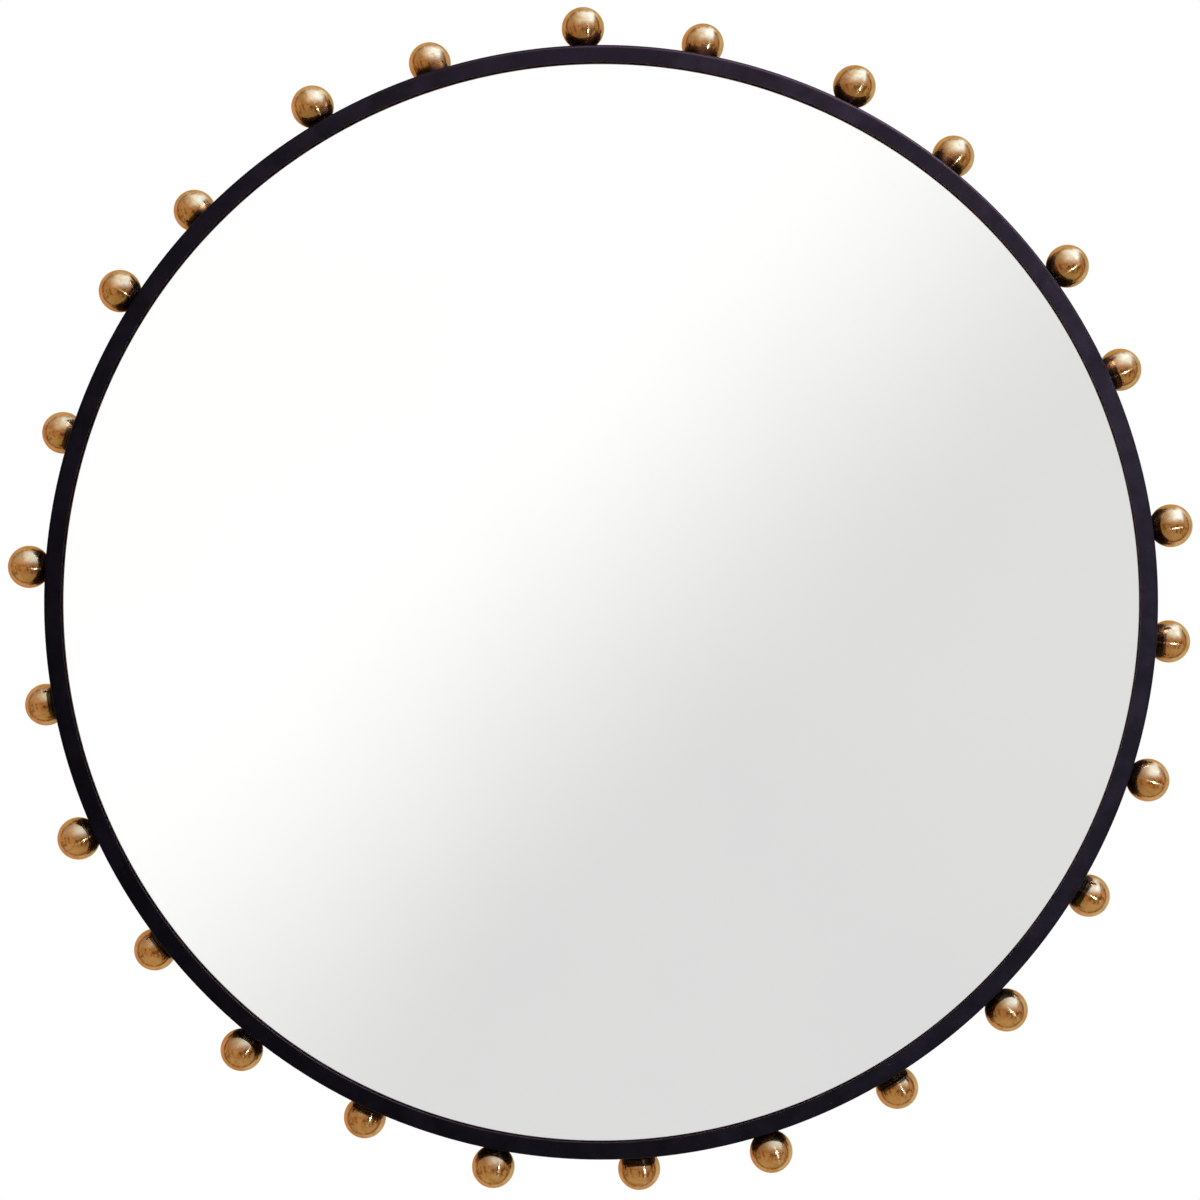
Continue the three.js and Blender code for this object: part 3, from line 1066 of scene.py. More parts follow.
@dataclass
class BrassBalls:
    """The balls with their threaded studs, nuts and washers."""

    diameter: float = 38.1 * MM
    seat_diameter: float = 14.0 * MM
    stud: float = 5.0 * MM
    pitch: float = 0.8 * MM
    thread_depth: float = 0.45 * MM
    thread_length: float = 8.0 * MM
    thread_sides: int = 20
    rows_per_pitch: int = 6
    nut_flats: float = 8.0 * MM
    nut_height: float = 4.0 * MM
    nut_bevel_start: float = 0.97
    nut_bevel: float = 30.0
    nut_steps: int = 60
    nut_turn: float = 37.0
    washer_diameter: float = 10.0 * MM
    washer_thickness: float = 1.0 * MM
    washer_edge: float = 0.15 * MM
    washer_segments: int = 48
    count: int = 26
    rows: int = 40
    segments: int = 72
    brass: Finish = field(default_factory=AgedBrass)
    zinc: Finish = field(default_factory=ZincPlate)

    def drop(self) -> float:
        """How far the seat lies below the ball's centre."""
        return math.sqrt((self.diameter / 2) ** 2 - (self.seat_diameter / 2) ** 2)

    def ball_profile(self) -> list[Point]:
        """The ball's outline from its seat to its pole.

        Returns:
            The points as (radius, height over the centre).
        """
        radius, drop = self.diameter / 2, self.drop()
        start = -math.degrees(math.asin(drop / radius))
        return [(0.0, -drop), *arc((0.0, 0.0), radius, start, 90.0, self.rows)[:-1], (0.0, radius)]

    def add_stud(self, work: bmesh.types.BMesh, length: float) -> None:
        """Adds the stud with a real thread on its free end.

        Args:
            work: The work mesh, with the ball's centre as its origin.
            length: The stud's length below the seat.
        """
        rows = int(self.thread_length / self.pitch * self.rows_per_pitch)
        sections = []
        for row in range(rows + 1):
            height = self.thread_length * row / rows - self.drop() - length
            fade = min(1.0, row / self.rows_per_pitch, (rows - row) / self.rows_per_pitch)
            ring = []
            for step in range(self.thread_sides):
                turn = step / self.thread_sides
                phase = (height / self.pitch - turn) % 1.0
                ridge = 1.0 - abs(2.0 * phase - 1.0)
                radius = self.stud / 2 - self.thread_depth * (1.0 - ridge * fade)
                angle = 2 * math.pi * turn
                ring.append(Vector((radius * math.cos(angle), radius * math.sin(angle), height)))
            sections.append(ring)
        shank = [Vector((point.x, point.y, -self.drop())) for point in sections[-1]]
        add_swept(work, [*sections, shank])

    def build_ball(self, number: int) -> bpy.types.Object:
        """Builds one ball with its stud.

        Args:
            number: The ball's number round the rim.

        Returns:
            The ball.
        """
        node = f"ball_{number:02d}"
        spoke = Spoke.of_node(node)
        root, pole = spoke.reach(node)
        centre = pole - self.diameter / 2
        work = bmesh.new()
        add_revolved(work, self.ball_profile(), self.segments)
        self.add_stud(work, centre - self.drop() - root)
        ball = finish_mesh(f"brass_ball_{number:02d}", work)
        place = spoke.outward(centre, middle_of(node).y)
        return fix_to_frame(ball, self.brass, node, place=place)

    def add_nut(self, work: bmesh.types.BMesh) -> None:
        """Adds a hexagon nut, chamfered on both faces; its bearing face is at z = 0.

        Args:
            work: The work mesh.
        """
        half, height, bore = self.nut_flats / 2, self.nut_height, self.stud / 2
        bevel = half * self.nut_bevel_start
        slope = math.tan(math.radians(self.nut_bevel))
        columns = []
        for step in range(self.nut_steps):
            turn = 2 * math.pi * step / self.nut_steps
            off_flat = (math.degrees(turn) + HEX_SIDE / 2) % HEX_SIDE - HEX_SIDE / 2
            hexagon = half / math.cos(math.radians(off_flat))
            cut = max(0.0, hexagon - bevel) * slope
            columns.append([
                Vector((radius * math.cos(turn), radius * math.sin(turn), level))
                for radius, level in (
                    (bore, 0.0), (bevel, 0.0), (hexagon, cut),
                    (hexagon, height - cut), (bevel, height), (bore, height),
                )
            ])
        add_swept(work, list(zip(*columns)), closed=True)

    def build_fasteners(self, number: int) -> list[bpy.types.Object]:
        """Builds a ball's washer and nut inside the rim.

        Args:
            number: The ball's number round the rim.

        Returns:
            The washer and the nut.
        """
        node = f"ball_{number:02d}"
        spoke, depth = Spoke.of_node(node), middle_of(node).y
        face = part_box("frame_ring")[1].x - SHEET
        if number % 2:
            face = spoke.reach(f"glass_clip_{(number + 1) // 2:02d}")[1] - CLIP_SHEET
        hole, half, edge = self.stud / 2, self.washer_diameter / 2, self.washer_edge
        thick = self.washer_thickness
        work = bmesh.new()
        add_revolved(work, rounded([
            (hole, 0.0, edge), (half, 0.0, edge), (half, thick, edge), (hole, thick, edge),
        ], steps=2), self.washer_segments, ring=True)
        washer = finish_mesh(f"stud_washer_{number:02d}", work)
        work = bmesh.new()
        self.add_nut(work)
        nut = finish_mesh(f"stud_nut_{number:02d}", work)
        tightened = Matrix.Rotation(math.radians(self.nut_turn * number), 4, "Z")
        places = (
            spoke.outward(face - thick, depth),
            spoke.outward(face - thick - self.nut_height, depth) @ tightened,
        )
        return [
            fix_to_frame(piece, self.zinc, place=place)
            for piece, place in zip((washer, nut), places)
        ]

    def build(self) -> list[bpy.types.Object]:
        """Builds every ball and its fasteners.

        Returns:
            The pieces made.
        """
        made = []
        for number in range(1, self.count + 1):
            made.append(self.build_ball(number))
            made.extend(self.build_fasteners(number))
        return made


@dataclass
class GlassPack:
    """The foam ring, the glass with its silver, and the hardboard back."""

    glass_chamfer: float = 0.6 * MM
    silver_margin: float = 0.4 * MM
    silver_depth: float = 0.12 * MM
    silver_thickness: float = 0.05 * MM
    board_edge: float = 0.5 * MM
    edge_steps: int = 3
    segments: int = 360
    glass: Finish = field(default_factory=ClearGlass)
    silver: Finish = field(default_factory=Silvering)
    hardboard: Finish = field(default_factory=Hardboard)
    foam: Finish = field(default_factory=CellFoam)

    def disc(
        self, name: str, radius: float, span: Point, edge: float, finish: Finish, *nodes: str
    ) -> bpy.types.Object:
        """Builds a round plate with eased edges.

        Args:
            name: The piece's name.
            radius: The plate's radius.
            span: Its front and back faces' y.
            edge: The edge radius.
            finish: Its finish.
            nodes: The solids that it stands for.

        Returns:
            The plate.
        """
        front, back = span
        work = bmesh.new()
        profile = rounded([
            (0.0, front, 0.0), (radius, front, edge), (radius, back, edge), (0.0, back, 0.0),
        ], closed=False, steps=self.edge_steps)
        add_revolved(work, profile, self.segments)
        place = facing_wall(0.0, 0.0, 0.0)
        return fix_to_frame(finish_mesh(name, work), finish, *nodes, place=place)

    def build(self) -> list[bpy.types.Object]:
        """Builds the pack.

        Returns:
            The pieces made.
        """
        low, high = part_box("mirror_glass")
        board_low, board_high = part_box("backing_board")
        back = high.y - self.silver_depth
        coat = (back - self.silver_thickness, back)
        made = [
            self.disc(
                "mirror_plate", high.x, (low.y, high.y), self.glass_chamfer, self.glass,
                "mirror_glass",
            ),
            self.disc("mirror_silvering", high.x - self.silver_margin, coat, 0.0, self.silver),
            self.disc(
                "hardboard_back", board_high.x, (board_low.y, board_high.y), self.board_edge,
                self.hardboard, "backing_board",
            ),
        ]
        self.foam.dress(frame["nodes"]["glass_cushion_ring"])
        return made


@dataclass
class GlassClips:
    """The bent clips under the front-row nuts, which press on the back board."""

    thickness: float = CLIP_SHEET
    bend: float = 3.0 * MM
    bend_steps: int = 8
    width: float = 18.0 * MM
    edge: float = 0.35 * MM
    tip: float = 4.0 * MM
    count: int = 13
    finish: Finish = field(default_factory=ZincPlate)

    def build_clip(self, number: int) -> bpy.types.Object:
        """Builds one clip.

        Args:
            number: The clip's number.

        Returns:
            The clip.
        """
        node = f"glass_clip_{number:02d}"
        spoke = Spoke.of_node(node)
        tip, outer = spoke.reach(node)
        low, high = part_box(node)
        middle = self.thickness / 2
        foot = low.y + middle
        line = rounded([
            (tip, foot, 0.0), (outer - middle, foot, self.bend - middle),
            (outer - middle, high.y, 0.0),
        ], closed=False, steps=self.bend_steps)
        fine = [(tip + self.tip * step / TIP_STEPS, foot) for step in range(TIP_STEPS + 1)]
        work = bmesh.new()
        add_swept(work, strip_sections(
            [*fine, *line[1:]], (self.width, self.thickness, self.edge), self.tip, spoke.point
        ))
        clip = finish_mesh(f"retaining_clip_{number:02d}", work)
        return fix_to_frame(clip, self.finish, node)

    def build(self) -> list[bpy.types.Object]:
        """Builds all the clips."""
        return [self.build_clip(number) for number in range(1, self.count + 1)]


@dataclass
class WallPlates:
    """The four plates near the wall, with the weld beads that hold them and their bumpers."""

    places: tuple[str, ...] = ("upper_right", "upper_left", "lower_left", "lower_right")
    bead_radius: float = 2.2 * MM
    bead_length: float = 22.0 * MM
    bead_spread: float = 36.0 * MM
    bead_sides: int = 10
    bead_sink: float = 0.35
    bead_squash: float = 0.9
    bead_end: float = 0.15
    bead_swell: float = 8.0
    bead_sharp: float = 60.0
    beads: int = 3
    ripple: float = 0.22 * MM
    ripple_pitch: float = 1.5 * MM
    ripple_steps: int = 6
    barb: Corner = (2.0 * MM, 4.5 * MM, 3.0 * MM)
    barb_edges: Corner = (0.5 * MM, 0.4 * MM, 0.2 * MM)
    barb_root: float = -11.3 * MM
    collar: float = -7.7 * MM
    head_taper: Corner = (0.96, 0.93, 0.85)
    bumper_edge: float = 1.0 * MM
    groove: float = -4.2 * MM
    groove_half: float = 0.8 * MM
    groove_depth: float = 0.5 * MM
    groove_edge: float = 0.3 * MM
    bumper_segments: int = 64
    steel: Finish = field(default_factory=BlackSteel)
    rubber: Finish = field(default_factory=MouldedRubber)

    def build_bead(self, name: str, spoke: Spoke, back: float, shift: float) -> bpy.types.Object:
        """Builds one weld bead in the corner between a plate and the rim.

        Args:
            name: The piece's name.
            spoke: The plate's spoke.
            back: The y of the plate's face that is welded.
            shift: How far round the rim the bead's middle is from the spoke.

        Returns:
            The bead.
        """
        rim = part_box("frame_ring")[1].x - SHEET
        steps = int(self.bead_length / self.ripple_pitch * self.ripple_steps)
        sections = []
        for step in range(steps + 1):
            along = self.bead_length * (step / steps - 0.5)
            here = Spoke(spoke.angle + (shift + along) / rim)
            from_end = min(step, steps - step) / steps
            swell = math.sqrt(min(1.0, self.bead_end + from_end * self.bead_swell))
            wave = self.ripple * math.sin(2 * math.pi * along / self.ripple_pitch)
            radius = self.bead_radius * swell + wave
            middle = (rim - self.bead_sink * radius, 0.0)
            sections.append([
                here.point(min(out, rim + SHEET / 2), back + up * self.bead_squash)
                for out, up in arc(middle, radius, 0.0, 360.0, self.bead_sides)[:-1]
            ])
        work = bmesh.new()
        add_swept(work, sections)
        return fix_to_frame(finish_mesh(name, work, self.bead_sharp), self.steel)

    def build_bumper(self, place: str) -> bpy.types.Object:
        """Builds one bumper: a grooved head with a barbed stem.

        Args:
            place: The bumper's place.

        Returns:
            The bumper.
        """
        node = f"wall_bumper_{place}"
        low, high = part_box(node)
        head = (high.x - low.x) / 2
        tip, barb, stem = self.barb
        lip, land, face = (head * share for share in self.head_taper)
        edge = self.groove_edge
        work = bmesh.new()
        add_revolved(work, rounded([
            (0.0, low.y, 0.0), (tip, low.y, self.barb_edges[0]),
            (barb, self.barb_root, self.barb_edges[1]),
            (stem, self.barb_root, self.barb_edges[2]),
            (stem, self.collar, edge), (head, self.collar, self.bumper_edge),
            (lip, self.groove - self.groove_half, edge),
            (lip - self.groove_depth, self.groove, edge),
            (land, self.groove + self.groove_half, edge),
            (face, 0.0, self.bumper_edge), (0.0, 0.0, 0.0),
        ], closed=False), self.bumper_segments)
        bumper = finish_mesh(f"rubber_bumper_{place}", work)
        centre = middle_of(node)
        facing = facing_wall(centre.x, 0.0, centre.z)
        return fix_to_frame(bumper, self.rubber, node, place=facing)

    def build(self) -> list[bpy.types.Object]:
        """Dresses the plates and builds their beads and bumpers.

        Returns:
            The pieces made.
        """
        made = []
        for place in self.places:
            node = f"wall_plate_{place}"
            self.steel.dress(frame["nodes"][node])
            centre, back = middle_of(node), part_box(node)[1].y
            spoke = Spoke(math.atan2(centre.z, centre.x))
            for bead in range(self.beads):
                shift = (bead - (self.beads - 1) / 2) * self.bead_spread
                made.append(self.build_bead(f"weld_{place}_{bead + 1}", spoke, back, shift))
            made.append(self.build_bumper(place))
        return made


@dataclass
class RingHanger:
    """One strap hanger: the folded strap, its two screws and the swinging ring."""

    side: Side
    strap_thickness: float = 1.5 * MM
    strap_end: float = 6.0 * MM
    edge: float = 0.3 * MM
    knuckle_bore: float = 2.0 * MM
    curl_stop: float = -128.0
    curl_steps: int = 40
    wire: float = 3.2 * MM
    wire_sides: int = 20
    eye_width: float = 20.0 * MM
    eye_height: float = 12.0 * MM
    bar_half: int = 8
    bar_step: int = 2
    corner: float = 3.0 * MM
    corner_start: float = 88.0
    corner_steps: int = 10
    bow_steps: int = 48
    shank: float = 2.0 * MM
    shank_edge: float = 0.4 * MM
    head_height: float = 2.4 * MM
    head_straight: float = 0.4
    head_flat: float = 0.62
    head_edges: Corner = (0.2 * MM, 0.8 * MM, 1.4 * MM)
    head_steps: int = 5
    screw_segments: int = 48
    screw_turn: float = 23.0
    left_turn: float = 40.0
    recess_length: float = 4.4 * MM
    recess_width: float = 0.9 * MM
    recess_depth: float = 1.5 * MM
    recess_taper: Point = (1.15, 0.45)
    finish: Finish = field(default_factory=ZincPlate)

    def pivot(self) -> Vector:
        """The middle of the ring's bar."""
        name = f"ring_{self.side.value}_swing"
        return Vector(next(each["pos_m"] for each in frame["joints"] if each["name"] == name))

    def build_strap(self) -> bpy.types.Object:
        """Builds the strap, which comes up the board and folds round the bar.

        Returns:
            The strap.
        """
        node = f"hanger_strap_{self.side.value}"
        low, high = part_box(node)
        pivot = self.pivot()
        radius = self.knuckle_bore + self.strap_thickness / 2
        flat = pivot.y - radius
        line = [
            *((flat, low.z + self.strap_end * i / TIP_STEPS) for i in range(TIP_STEPS + 1)),
            (flat, pivot.z - radius),
            *arc((pivot.y, pivot.z), radius, 180.0, self.curl_stop, self.curl_steps),
        ]
        work = bmesh.new()
        add_swept(work, strip_sections(
            line, (high.x - low.x, self.strap_thickness, self.edge), self.strap_end,
            lambda y, z, across: Vector((pivot.x + across, y, z)),
        ))
        return fix_to_frame(finish_mesh(f"strap_{self.side.value}", work), self.finish, node)

    def build_ring(self) -> bpy.types.Object:
        """Builds the swinging ring: a straight bar and a round bow of bent wire.

        Returns:
            The ring.
        """
        pivot, wire = self.pivot(), self.wire / 2
        half = self.eye_width / 2 + wire
        bend, last = half - self.corner, 180.0 - self.corner_start
        path = [
            *((x * MM, 0.0) for x in range(-self.bar_half, self.bar_half + 1, self.bar_step)),
            *arc((bend, -self.corner), self.corner, self.corner_start, 0.0, self.corner_steps),
            *arc((0.0, half - self.eye_height - self.wire), half, 0.0, -180.0, self.bow_steps),
            *arc((-bend, -self.corner), self.corner, 180.0, last, self.corner_steps),
        ]
        sections = []
        for i, (x, z) in enumerate(path):
            before, after = path[i - 1], path[(i + 1) % len(path)]
            normal = Vector((after[1] - before[1], before[0] - after[0])).normalized()
            sections.append([
                pivot + Vector((x + off * normal.x, up, z + off * normal.y))
                for off, up in arc((0.0, 0.0), wire, 0.0, 360.0, self.wire_sides)[:-1]
            ])
        work = bmesh.new()
        add_swept(work, sections, closed=True)
        name = f"hanger_ring_{self.side.value}"
        ring = finish_mesh(f"bow_ring_{self.side.value}", work)
        self.finish.dress(ring)
        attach(ring, f"ring_{self.side.value}")
        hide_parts(name)
        return ring

    def build_screw(self, number: int) -> bpy.types.Object:
        """Builds a pan-head screw with a cross recess.

        Args:
            number: The screw's number on its strap.

        Returns:
            The screw.
        """
        node = f"strap_screw_{self.side.value}_{number}"
        low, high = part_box(node)
        head, top = (high.x - low.x) / 2, high.y - low.y
        seat = top - self.head_height
        under, shoulder, crown = self.head_edges
        work = bmesh.new()
        add_revolved(work, rounded([
            (0.0, 0.0, 0.0), (self.shank, 0.0, self.shank_edge), (self.shank, seat, 0.0),
            (head, seat, under), (head, seat + self.head_height * self.head_straight, shoulder),
            (head * self.head_flat, top, crown), (0.0, top, 0.0),
        ], closed=False, steps=self.head_steps), self.screw_segments)
        screw = finish_mesh(f"pan_screw_{self.side.value}_{number}", work)
        turn = self.screw_turn * number + (self.left_turn if self.side is Side.LEFT else 0.0)
        for quarter in (0.0, 90.0):
            carve(screw, self.recess_arm(top, math.radians(turn + quarter)))
        screw.data.shade_smooth()
        screw.data.set_sharp_from_angle(angle=math.radians(SHARP))
        centre = middle_of(node)
        facing = facing_wall(centre.x, low.y, centre.z)
        return fix_to_frame(screw, self.finish, node, place=facing)

    def recess_arm(self, top: float, turn: float) -> bpy.types.Object:
        """Builds one tapered arm of the cross recess, to be cut away.

        Args:
            top: The height of the head's top.
            turn: The arm's direction.

        Returns:
            The cutter.
        """
        wide = self.recess_width / 2
        sections = []
        for level, share in zip((top + MM, top - self.recess_depth), self.recess_taper):
            long = self.recess_length / 2 * share
            corners = ((-long, -wide), (long, -wide), (long, wide), (-long, wide))
            sections.append([Vector((x, y, level)) for x, y in corners])
        work = bmesh.new()
        add_swept(work, sections)
        cutter = finish_mesh("recess_arm", work)
        cutter.data.transform(Matrix.Rotation(turn, 4, "Z"))
        return cutter

    def build(self) -> list[bpy.types.Object]:
        """Builds the hanger's four pieces."""
        return [self.build_strap(), self.build_ring(), self.build_screw(1), self.build_screw(2)]


# ---- Studio ------------------------------------------------------------------------------


@dataclass
class Viewpoint:
    """The camera: a little to the right of the mirror's middle and a little below it."""

    place: Corner = (0.108, -2.798, -0.026)
    target: Corner = (0.0026, -0.078, 0.0011)
    lens: float = 92.35
    sensor: float = 36.0

    def build(self) -> bpy.types.Object:
        """Makes the scene's camera.

        Returns:
            The camera.
        """
        data = bpy.data.cameras.new("view")
        data.lens, data.sensor_width = self.lens, self.sensor
        camera = bpy.data.objects.new("view", data)
        camera.location = self.place
        look = Vector(self.target) - Vector(self.place)
        camera.rotation_euler = look.to_track_quat("-Z", "Y").to_euler()
        bpy.context.scene.collection.objects.link(camera)
        bpy.context.scene.camera = camera
        return camera


@dataclass
class Room:
    """The soft light round the mirror, laid out as a chrome ball at the viewer would show it.

    A direction's place on that ball is (u, v), from -1 to 1, with the viewer at the middle.
    """

    ambient: Colour = (0.025, 0.025, 0.025)
    left_wall: Colour = (0.84, 0.70, 0.60)
    right_wall: Colour = (0.84, 0.98, 1.02)
    walls_u: Point = (-0.5, 0.5)
    cornice: Colour = (0.84, 0.80, 0.56)
    cornice_v: Point = (0.35, 0.75)
    edge_reach: Point = (0.78, 0.83)
    ceiling: Colour = (0.56, 0.55, 0.52)
    ceiling_v: Point = (0.0, 0.45)
    floor: Colour = (0.63, 0.60, 0.40)
    middle: Colour = (0.68, 0.54, 0.32)
    middle_v: Point = (-0.40, -0.16)
    shade: Colour = (0.13, 0.092, 0.060)
    shade_v: Point = (-0.36, 0.08)
    shade_soft: float = 0.14
    shade_span: Point = (0.47, 0.60)
    shade_share: Point = (0.0, 0.9)
    trim: Colour = (0.22, 0.17, 0.14)
    trim_reach: Point = (0.72, 0.79)
    trim_soft: float = 0.05
    trim_span: Point = (0.3, 0.55)
    window: Colour = (1.60, 2.95, 5.9)
    curtain: Colour = (2.00, 2.95, 3.8)
    curtain_u: Point = (-0.45, 0.30)
    window_left: Point = (-0.48, 0.30)
    window_right: Point = (0.60, 0.42)
    window_foot: Point = (0.05, 0.40)
    window_head: Point = (0.84, 0.64)
    ragged: Cloud = Cloud(1.0, 3.0, 0.6)
    ragged_stretch: Corner = (7.0, 3.0, 1.0)
    clutter: Cloud = Cloud(1.0, 2.0)
    clutter_stretch: Corner = (6.5, 4.0, 1.0)
    wobble: float = 0.26
    glass_grey: float = 0.7745
    glass_white: float = 1.079
    glass_fade: Point = (-0.0347, 0.1013)
    least_ahead: float = 0.2

    def chrome_ball(self, graph: Graph, direction: Socket) -> tuple[Socket, Socket]:
        """Where a direction shows on a chrome ball.

        Args:
            graph: The world's graph.
            direction: The direction.

        Returns:
            The sockets of (u, 0, v) and of the distance from the ball's middle.
        """
        unit = graph.vector("NORMALIZE", graph.vector("ADD", direction, (0.0, -1.0, 0.0)))
        flat = graph.vector("MULTIPLY", unit, IN_THE_WALL_PLANE)
        return flat, graph.vector("LENGTH", flat)

    def seen_in_metal(self, graph: Graph, direction: Socket) -> Socket:
        """The room as polished metal shows it.

        Args:
            graph: The world's graph.
            direction: The direction.

        Returns:
            The colour's socket.
        """
        flat, reach = self.chrome_ball(graph, direction)
        u, _, v = graph.axes(flat)
        upright = graph.node("ShaderNodeCombineXYZ")
        graph.feed(upright.inputs["X"], u)
        graph.feed(upright.inputs["Y"], v)
        place = upright.outputs["Vector"]
        ragged = graph.noise(graph.stretched(place, self.ragged_stretch), self.ragged)
        clutter = graph.noise(graph.stretched(place, self.clutter_stretch), self.clutter)
        across, high = (
            graph.math("ADD", value, graph.math(
                "MULTIPLY", graph.math("SUBTRACT", pattern, 0.5), self.wobble
            ))
            for value, pattern in ((u, clutter), (v, ragged))
        )
        dark = graph.all_of(
            graph.spread(clutter, self.shade_span, self.shade_share),
            graph.between(high, self.shade_v, self.shade_soft),
        )
        trim = graph.all_of(
            graph.between(reach, self.trim_reach, self.trim_soft),
            graph.spread(ragged, self.trim_span),
        )
        wall = graph.mix(graph.spread(u, self.walls_u), self.left_wall, self.right_wall)
        lit = graph.all_of(*(
            graph.spread(value, edge) for value, edge in (
                (across, self.window_left), (across, self.window_right),
                (high, self.window_foot), (high, self.window_head),
            )
        ))
        colour = graph.mix(graph.spread(v, self.middle_v), self.floor, self.middle)
        for mask, over in (
            (graph.spread(v, self.ceiling_v), self.ceiling), (dark, self.shade),
            (trim, self.trim),
            (
                graph.spread(reach, self.edge_reach),
                graph.mix(graph.spread(v, self.cornice_v), wall, self.cornice),
            ),
            (lit, graph.mix(graph.spread(across, self.curtain_u), self.curtain, self.window)),
        ):
            colour = graph.mix(mask, colour, over)
        return colour

    def seen_in_glass(self, graph: Graph, direction: Socket) -> Socket:
        """The plain pale studio that the mirror shows, fading from white to light grey.

        Args:
            graph: The world's graph.
            direction: The direction.

        Returns:
            The colour's socket.
        """
        x, y, z = graph.axes(direction)
        ahead = graph.math("MAXIMUM", graph.math("MULTIPLY", y, -1.0), self.least_ahead)
        slant = graph.math("MULTIPLY", graph.math("SUBTRACT", z, x), math.sqrt(0.5))
        fade = graph.math("DIVIDE", slant, ahead)
        return graph.spread(fade, self.glass_fade, (self.glass_grey, self.glass_white))

    def build(self) -> bpy.types.World:
        """Makes the world.

        Returns:
            The world.
        """
        world = bpy.data.worlds.new("soft_room")
        world.use_nodes = True
        world.cycles.sampling_method = "NONE"
        graph = Graph(world.node_tree)
        direction = graph.node("ShaderNodeTexCoord").outputs["Generated"]
        path = graph.node("ShaderNodeLightPath").outputs
        colour = self.ambient
        for ray, seen in (
            ("Is Glossy Ray", self.seen_in_metal(graph, direction)),
            ("Is Transmission Ray", self.seen_in_glass(graph, direction)),
            ("Is Camera Ray", WHITE),
        ):
            colour = graph.mix(path[ray], colour, seen)
        background = graph.node("ShaderNodeBackground")
        graph.feed(background.inputs["Color"], colour)
        output = graph.node("ShaderNodeOutputWorld")
        graph.tree.links.new(background.outputs[0], output.inputs["Surface"])
        bpy.context.scene.world = world
        return world


@dataclass(frozen=True)
class Lamp:
    """A rectangular soft lamp, which gives either plain light or only highlights."""

    name: str
    power: float
    place: Corner
    size: Point
    aim: Corner = (0.0, 0.0, 0.0)
    colour: Colour = WHITE
    spread: float = 180.0
    shine_on: Finish | None = None

    def build(self, pieces: Sequence[bpy.types.Object]) -> bpy.types.Object:
        """Hangs the lamp.

        Args:
            pieces: The built pieces; highlights fall only on those with the lamp's finish.

        Returns:
            The lamp.
        """
        data = bpy.data.lights.new(self.name, "AREA")
        data.shape, (data.size, data.size_y) = "RECTANGLE", self.size
        data.energy, data.color, data.spread = self.power, self.colour, math.radians(self.spread)
        lamp = bpy.data.objects.new(self.name, data)
        lamp.location = self.place
        facing = Vector(self.aim) - Vector(self.place)
        lamp.rotation_euler = facing.to_track_quat("-Z", "Y").to_euler()
        lamp.visible_glossy = self.shine_on is not None
        lamp.visible_diffuse = self.shine_on is None
        lamp.visible_transmission = lamp.visible_camera = False
        bpy.context.scene.collection.objects.link(lamp)
        if self.shine_on is not None:
            lit = bpy.data.collections.new(f"{self.name}_pieces")
            for piece in pieces:
                if piece.data.materials[0].name == self.shine_on.name:
                    lit.objects.link(piece)
            lamp.light_linking.receiver_collection = lit
        return lamp


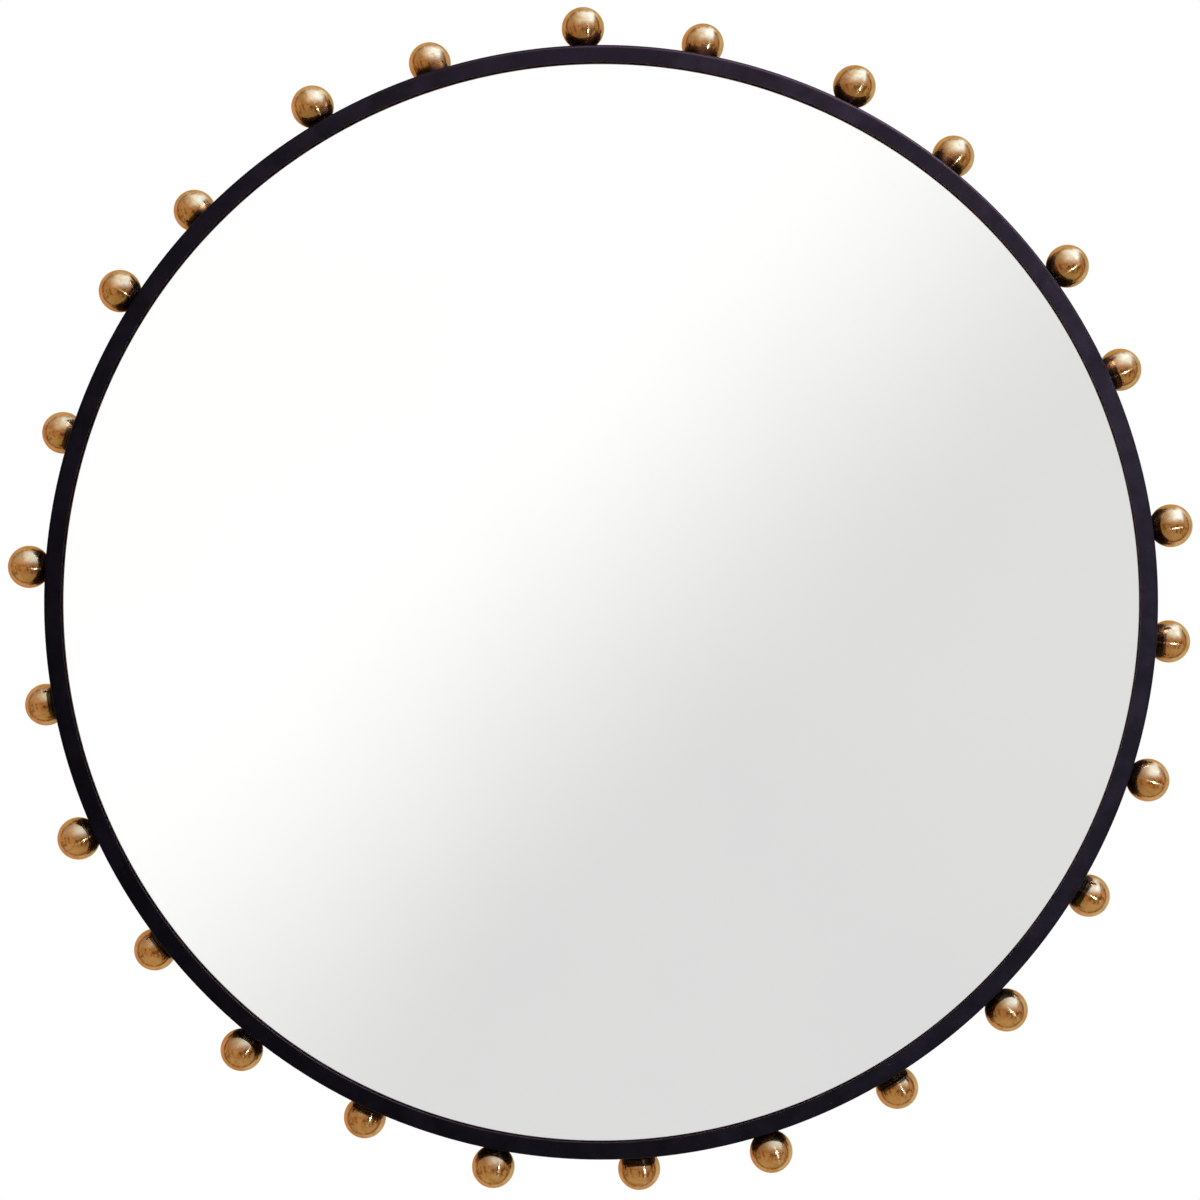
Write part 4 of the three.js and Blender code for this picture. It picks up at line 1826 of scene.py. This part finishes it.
@dataclass
class Studio:
    """The pale floor below the hung mirror and the lamps."""

    floor_drop: float = 1.15
    floor_size: float = 5.0
    floor_colour: Colour = (0.86, 0.86, 0.86)
    floor_roughness: float = 0.9
    floor_specular: float = 0.2
    floor_glow: float = 0.60
    lamps: tuple[Lamp, ...] = (
        Lamp(
            "key_lamp", 7.8, (0.435, -2.84, 0.237), (0.5, 0.5), aim=(0.584, -0.076, 0.318),
            spread=50.6,
        ),
        Lamp("fill_lamp_1", 45.0, (-1.9, 1.6, 1.3), (1.6, 1.6)),
        Lamp("fill_lamp_2", 45.0, (1.9, 1.6, 0.2), (1.6, 1.6)),
        Lamp(
            "spark_lamp", 26.0, (1.35, -2.1, -0.50), (0.2, 0.2), colour=(0.42, 0.66, 1.0),
            shine_on=AgedBrass(),
        ),
        Lamp(
            "gloss_lamp", 1900.0, (0.92, -1.2, 2.25), (3.0, 1.2), colour=(1.0, 0.92, 1.0),
            shine_on=BlackSteel(),
        ),
    )

    def build_floor(self) -> bpy.types.Object:
        """Makes the floor, which keeps the mirror's shadow and shows pale to the camera.

        Returns:
            The floor.
        """
        half = self.floor_size / 2
        work = bmesh.new()
        corners = ((-half, -half), (half, -half), (half, half), (-half, half))
        work.faces.new([work.verts.new((x, y, -self.floor_drop)) for x, y in corners])
        floor = finish_mesh("studio_floor", work)
        material = bpy.data.materials.new("studio_floor")
        surface = Surface(material)
        seen = surface.node("ShaderNodeLightPath").outputs["Is Camera Ray"]
        surface.set(
            Base_Color=self.floor_colour, Roughness=self.floor_roughness,
            Specular_IOR_Level=self.floor_specular, Emission_Color=WHITE,
            Emission_Strength=surface.math("MULTIPLY", seen, self.floor_glow),
        )
        floor.data.materials.append(material)
        floor.visible_glossy = False
        return floor

    def build(self, pieces: Sequence[bpy.types.Object]) -> None:
        """Makes the floor and hangs the lamps.

        Args:
            pieces: The mirror's built pieces.
        """
        self.build_floor()
        for lamp in self.lamps:
            lamp.build(pieces)


# ---- Whole scene -------------------------------------------------------------------------


def main() -> None:
    """Builds the mirror in order and reports each sub-assembly."""
    logging.basicConfig(level=logging.INFO, format="%(name)s: %(message)s")
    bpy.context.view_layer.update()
    bpy.context.scene.view_settings.view_transform = "Standard"
    Viewpoint().build()
    Room().build()
    steps: tuple[tuple[str, Callable[[], list[bpy.types.Object]]], ...] = (
        ("rim band", FrameBand().build),
        ("brass balls and fasteners", BrassBalls().build),
        ("glass pack", GlassPack().build),
        ("retaining clips", GlassClips().build),
        ("wall plates and bumpers", WallPlates().build),
        *((f"{side.value} ring hanger", RingHanger(side).build) for side in Side),
    )
    pieces: list[bpy.types.Object] = []
    for label, build in steps:
        made = build()
        pieces.extend(made)
        points = sum(len(piece.data.vertices) for piece in made)
        LOG.info("%s: %d pieces, %d points", label, len(made), points)
    Studio().build(pieces)


if __name__ == "__main__":
    main()
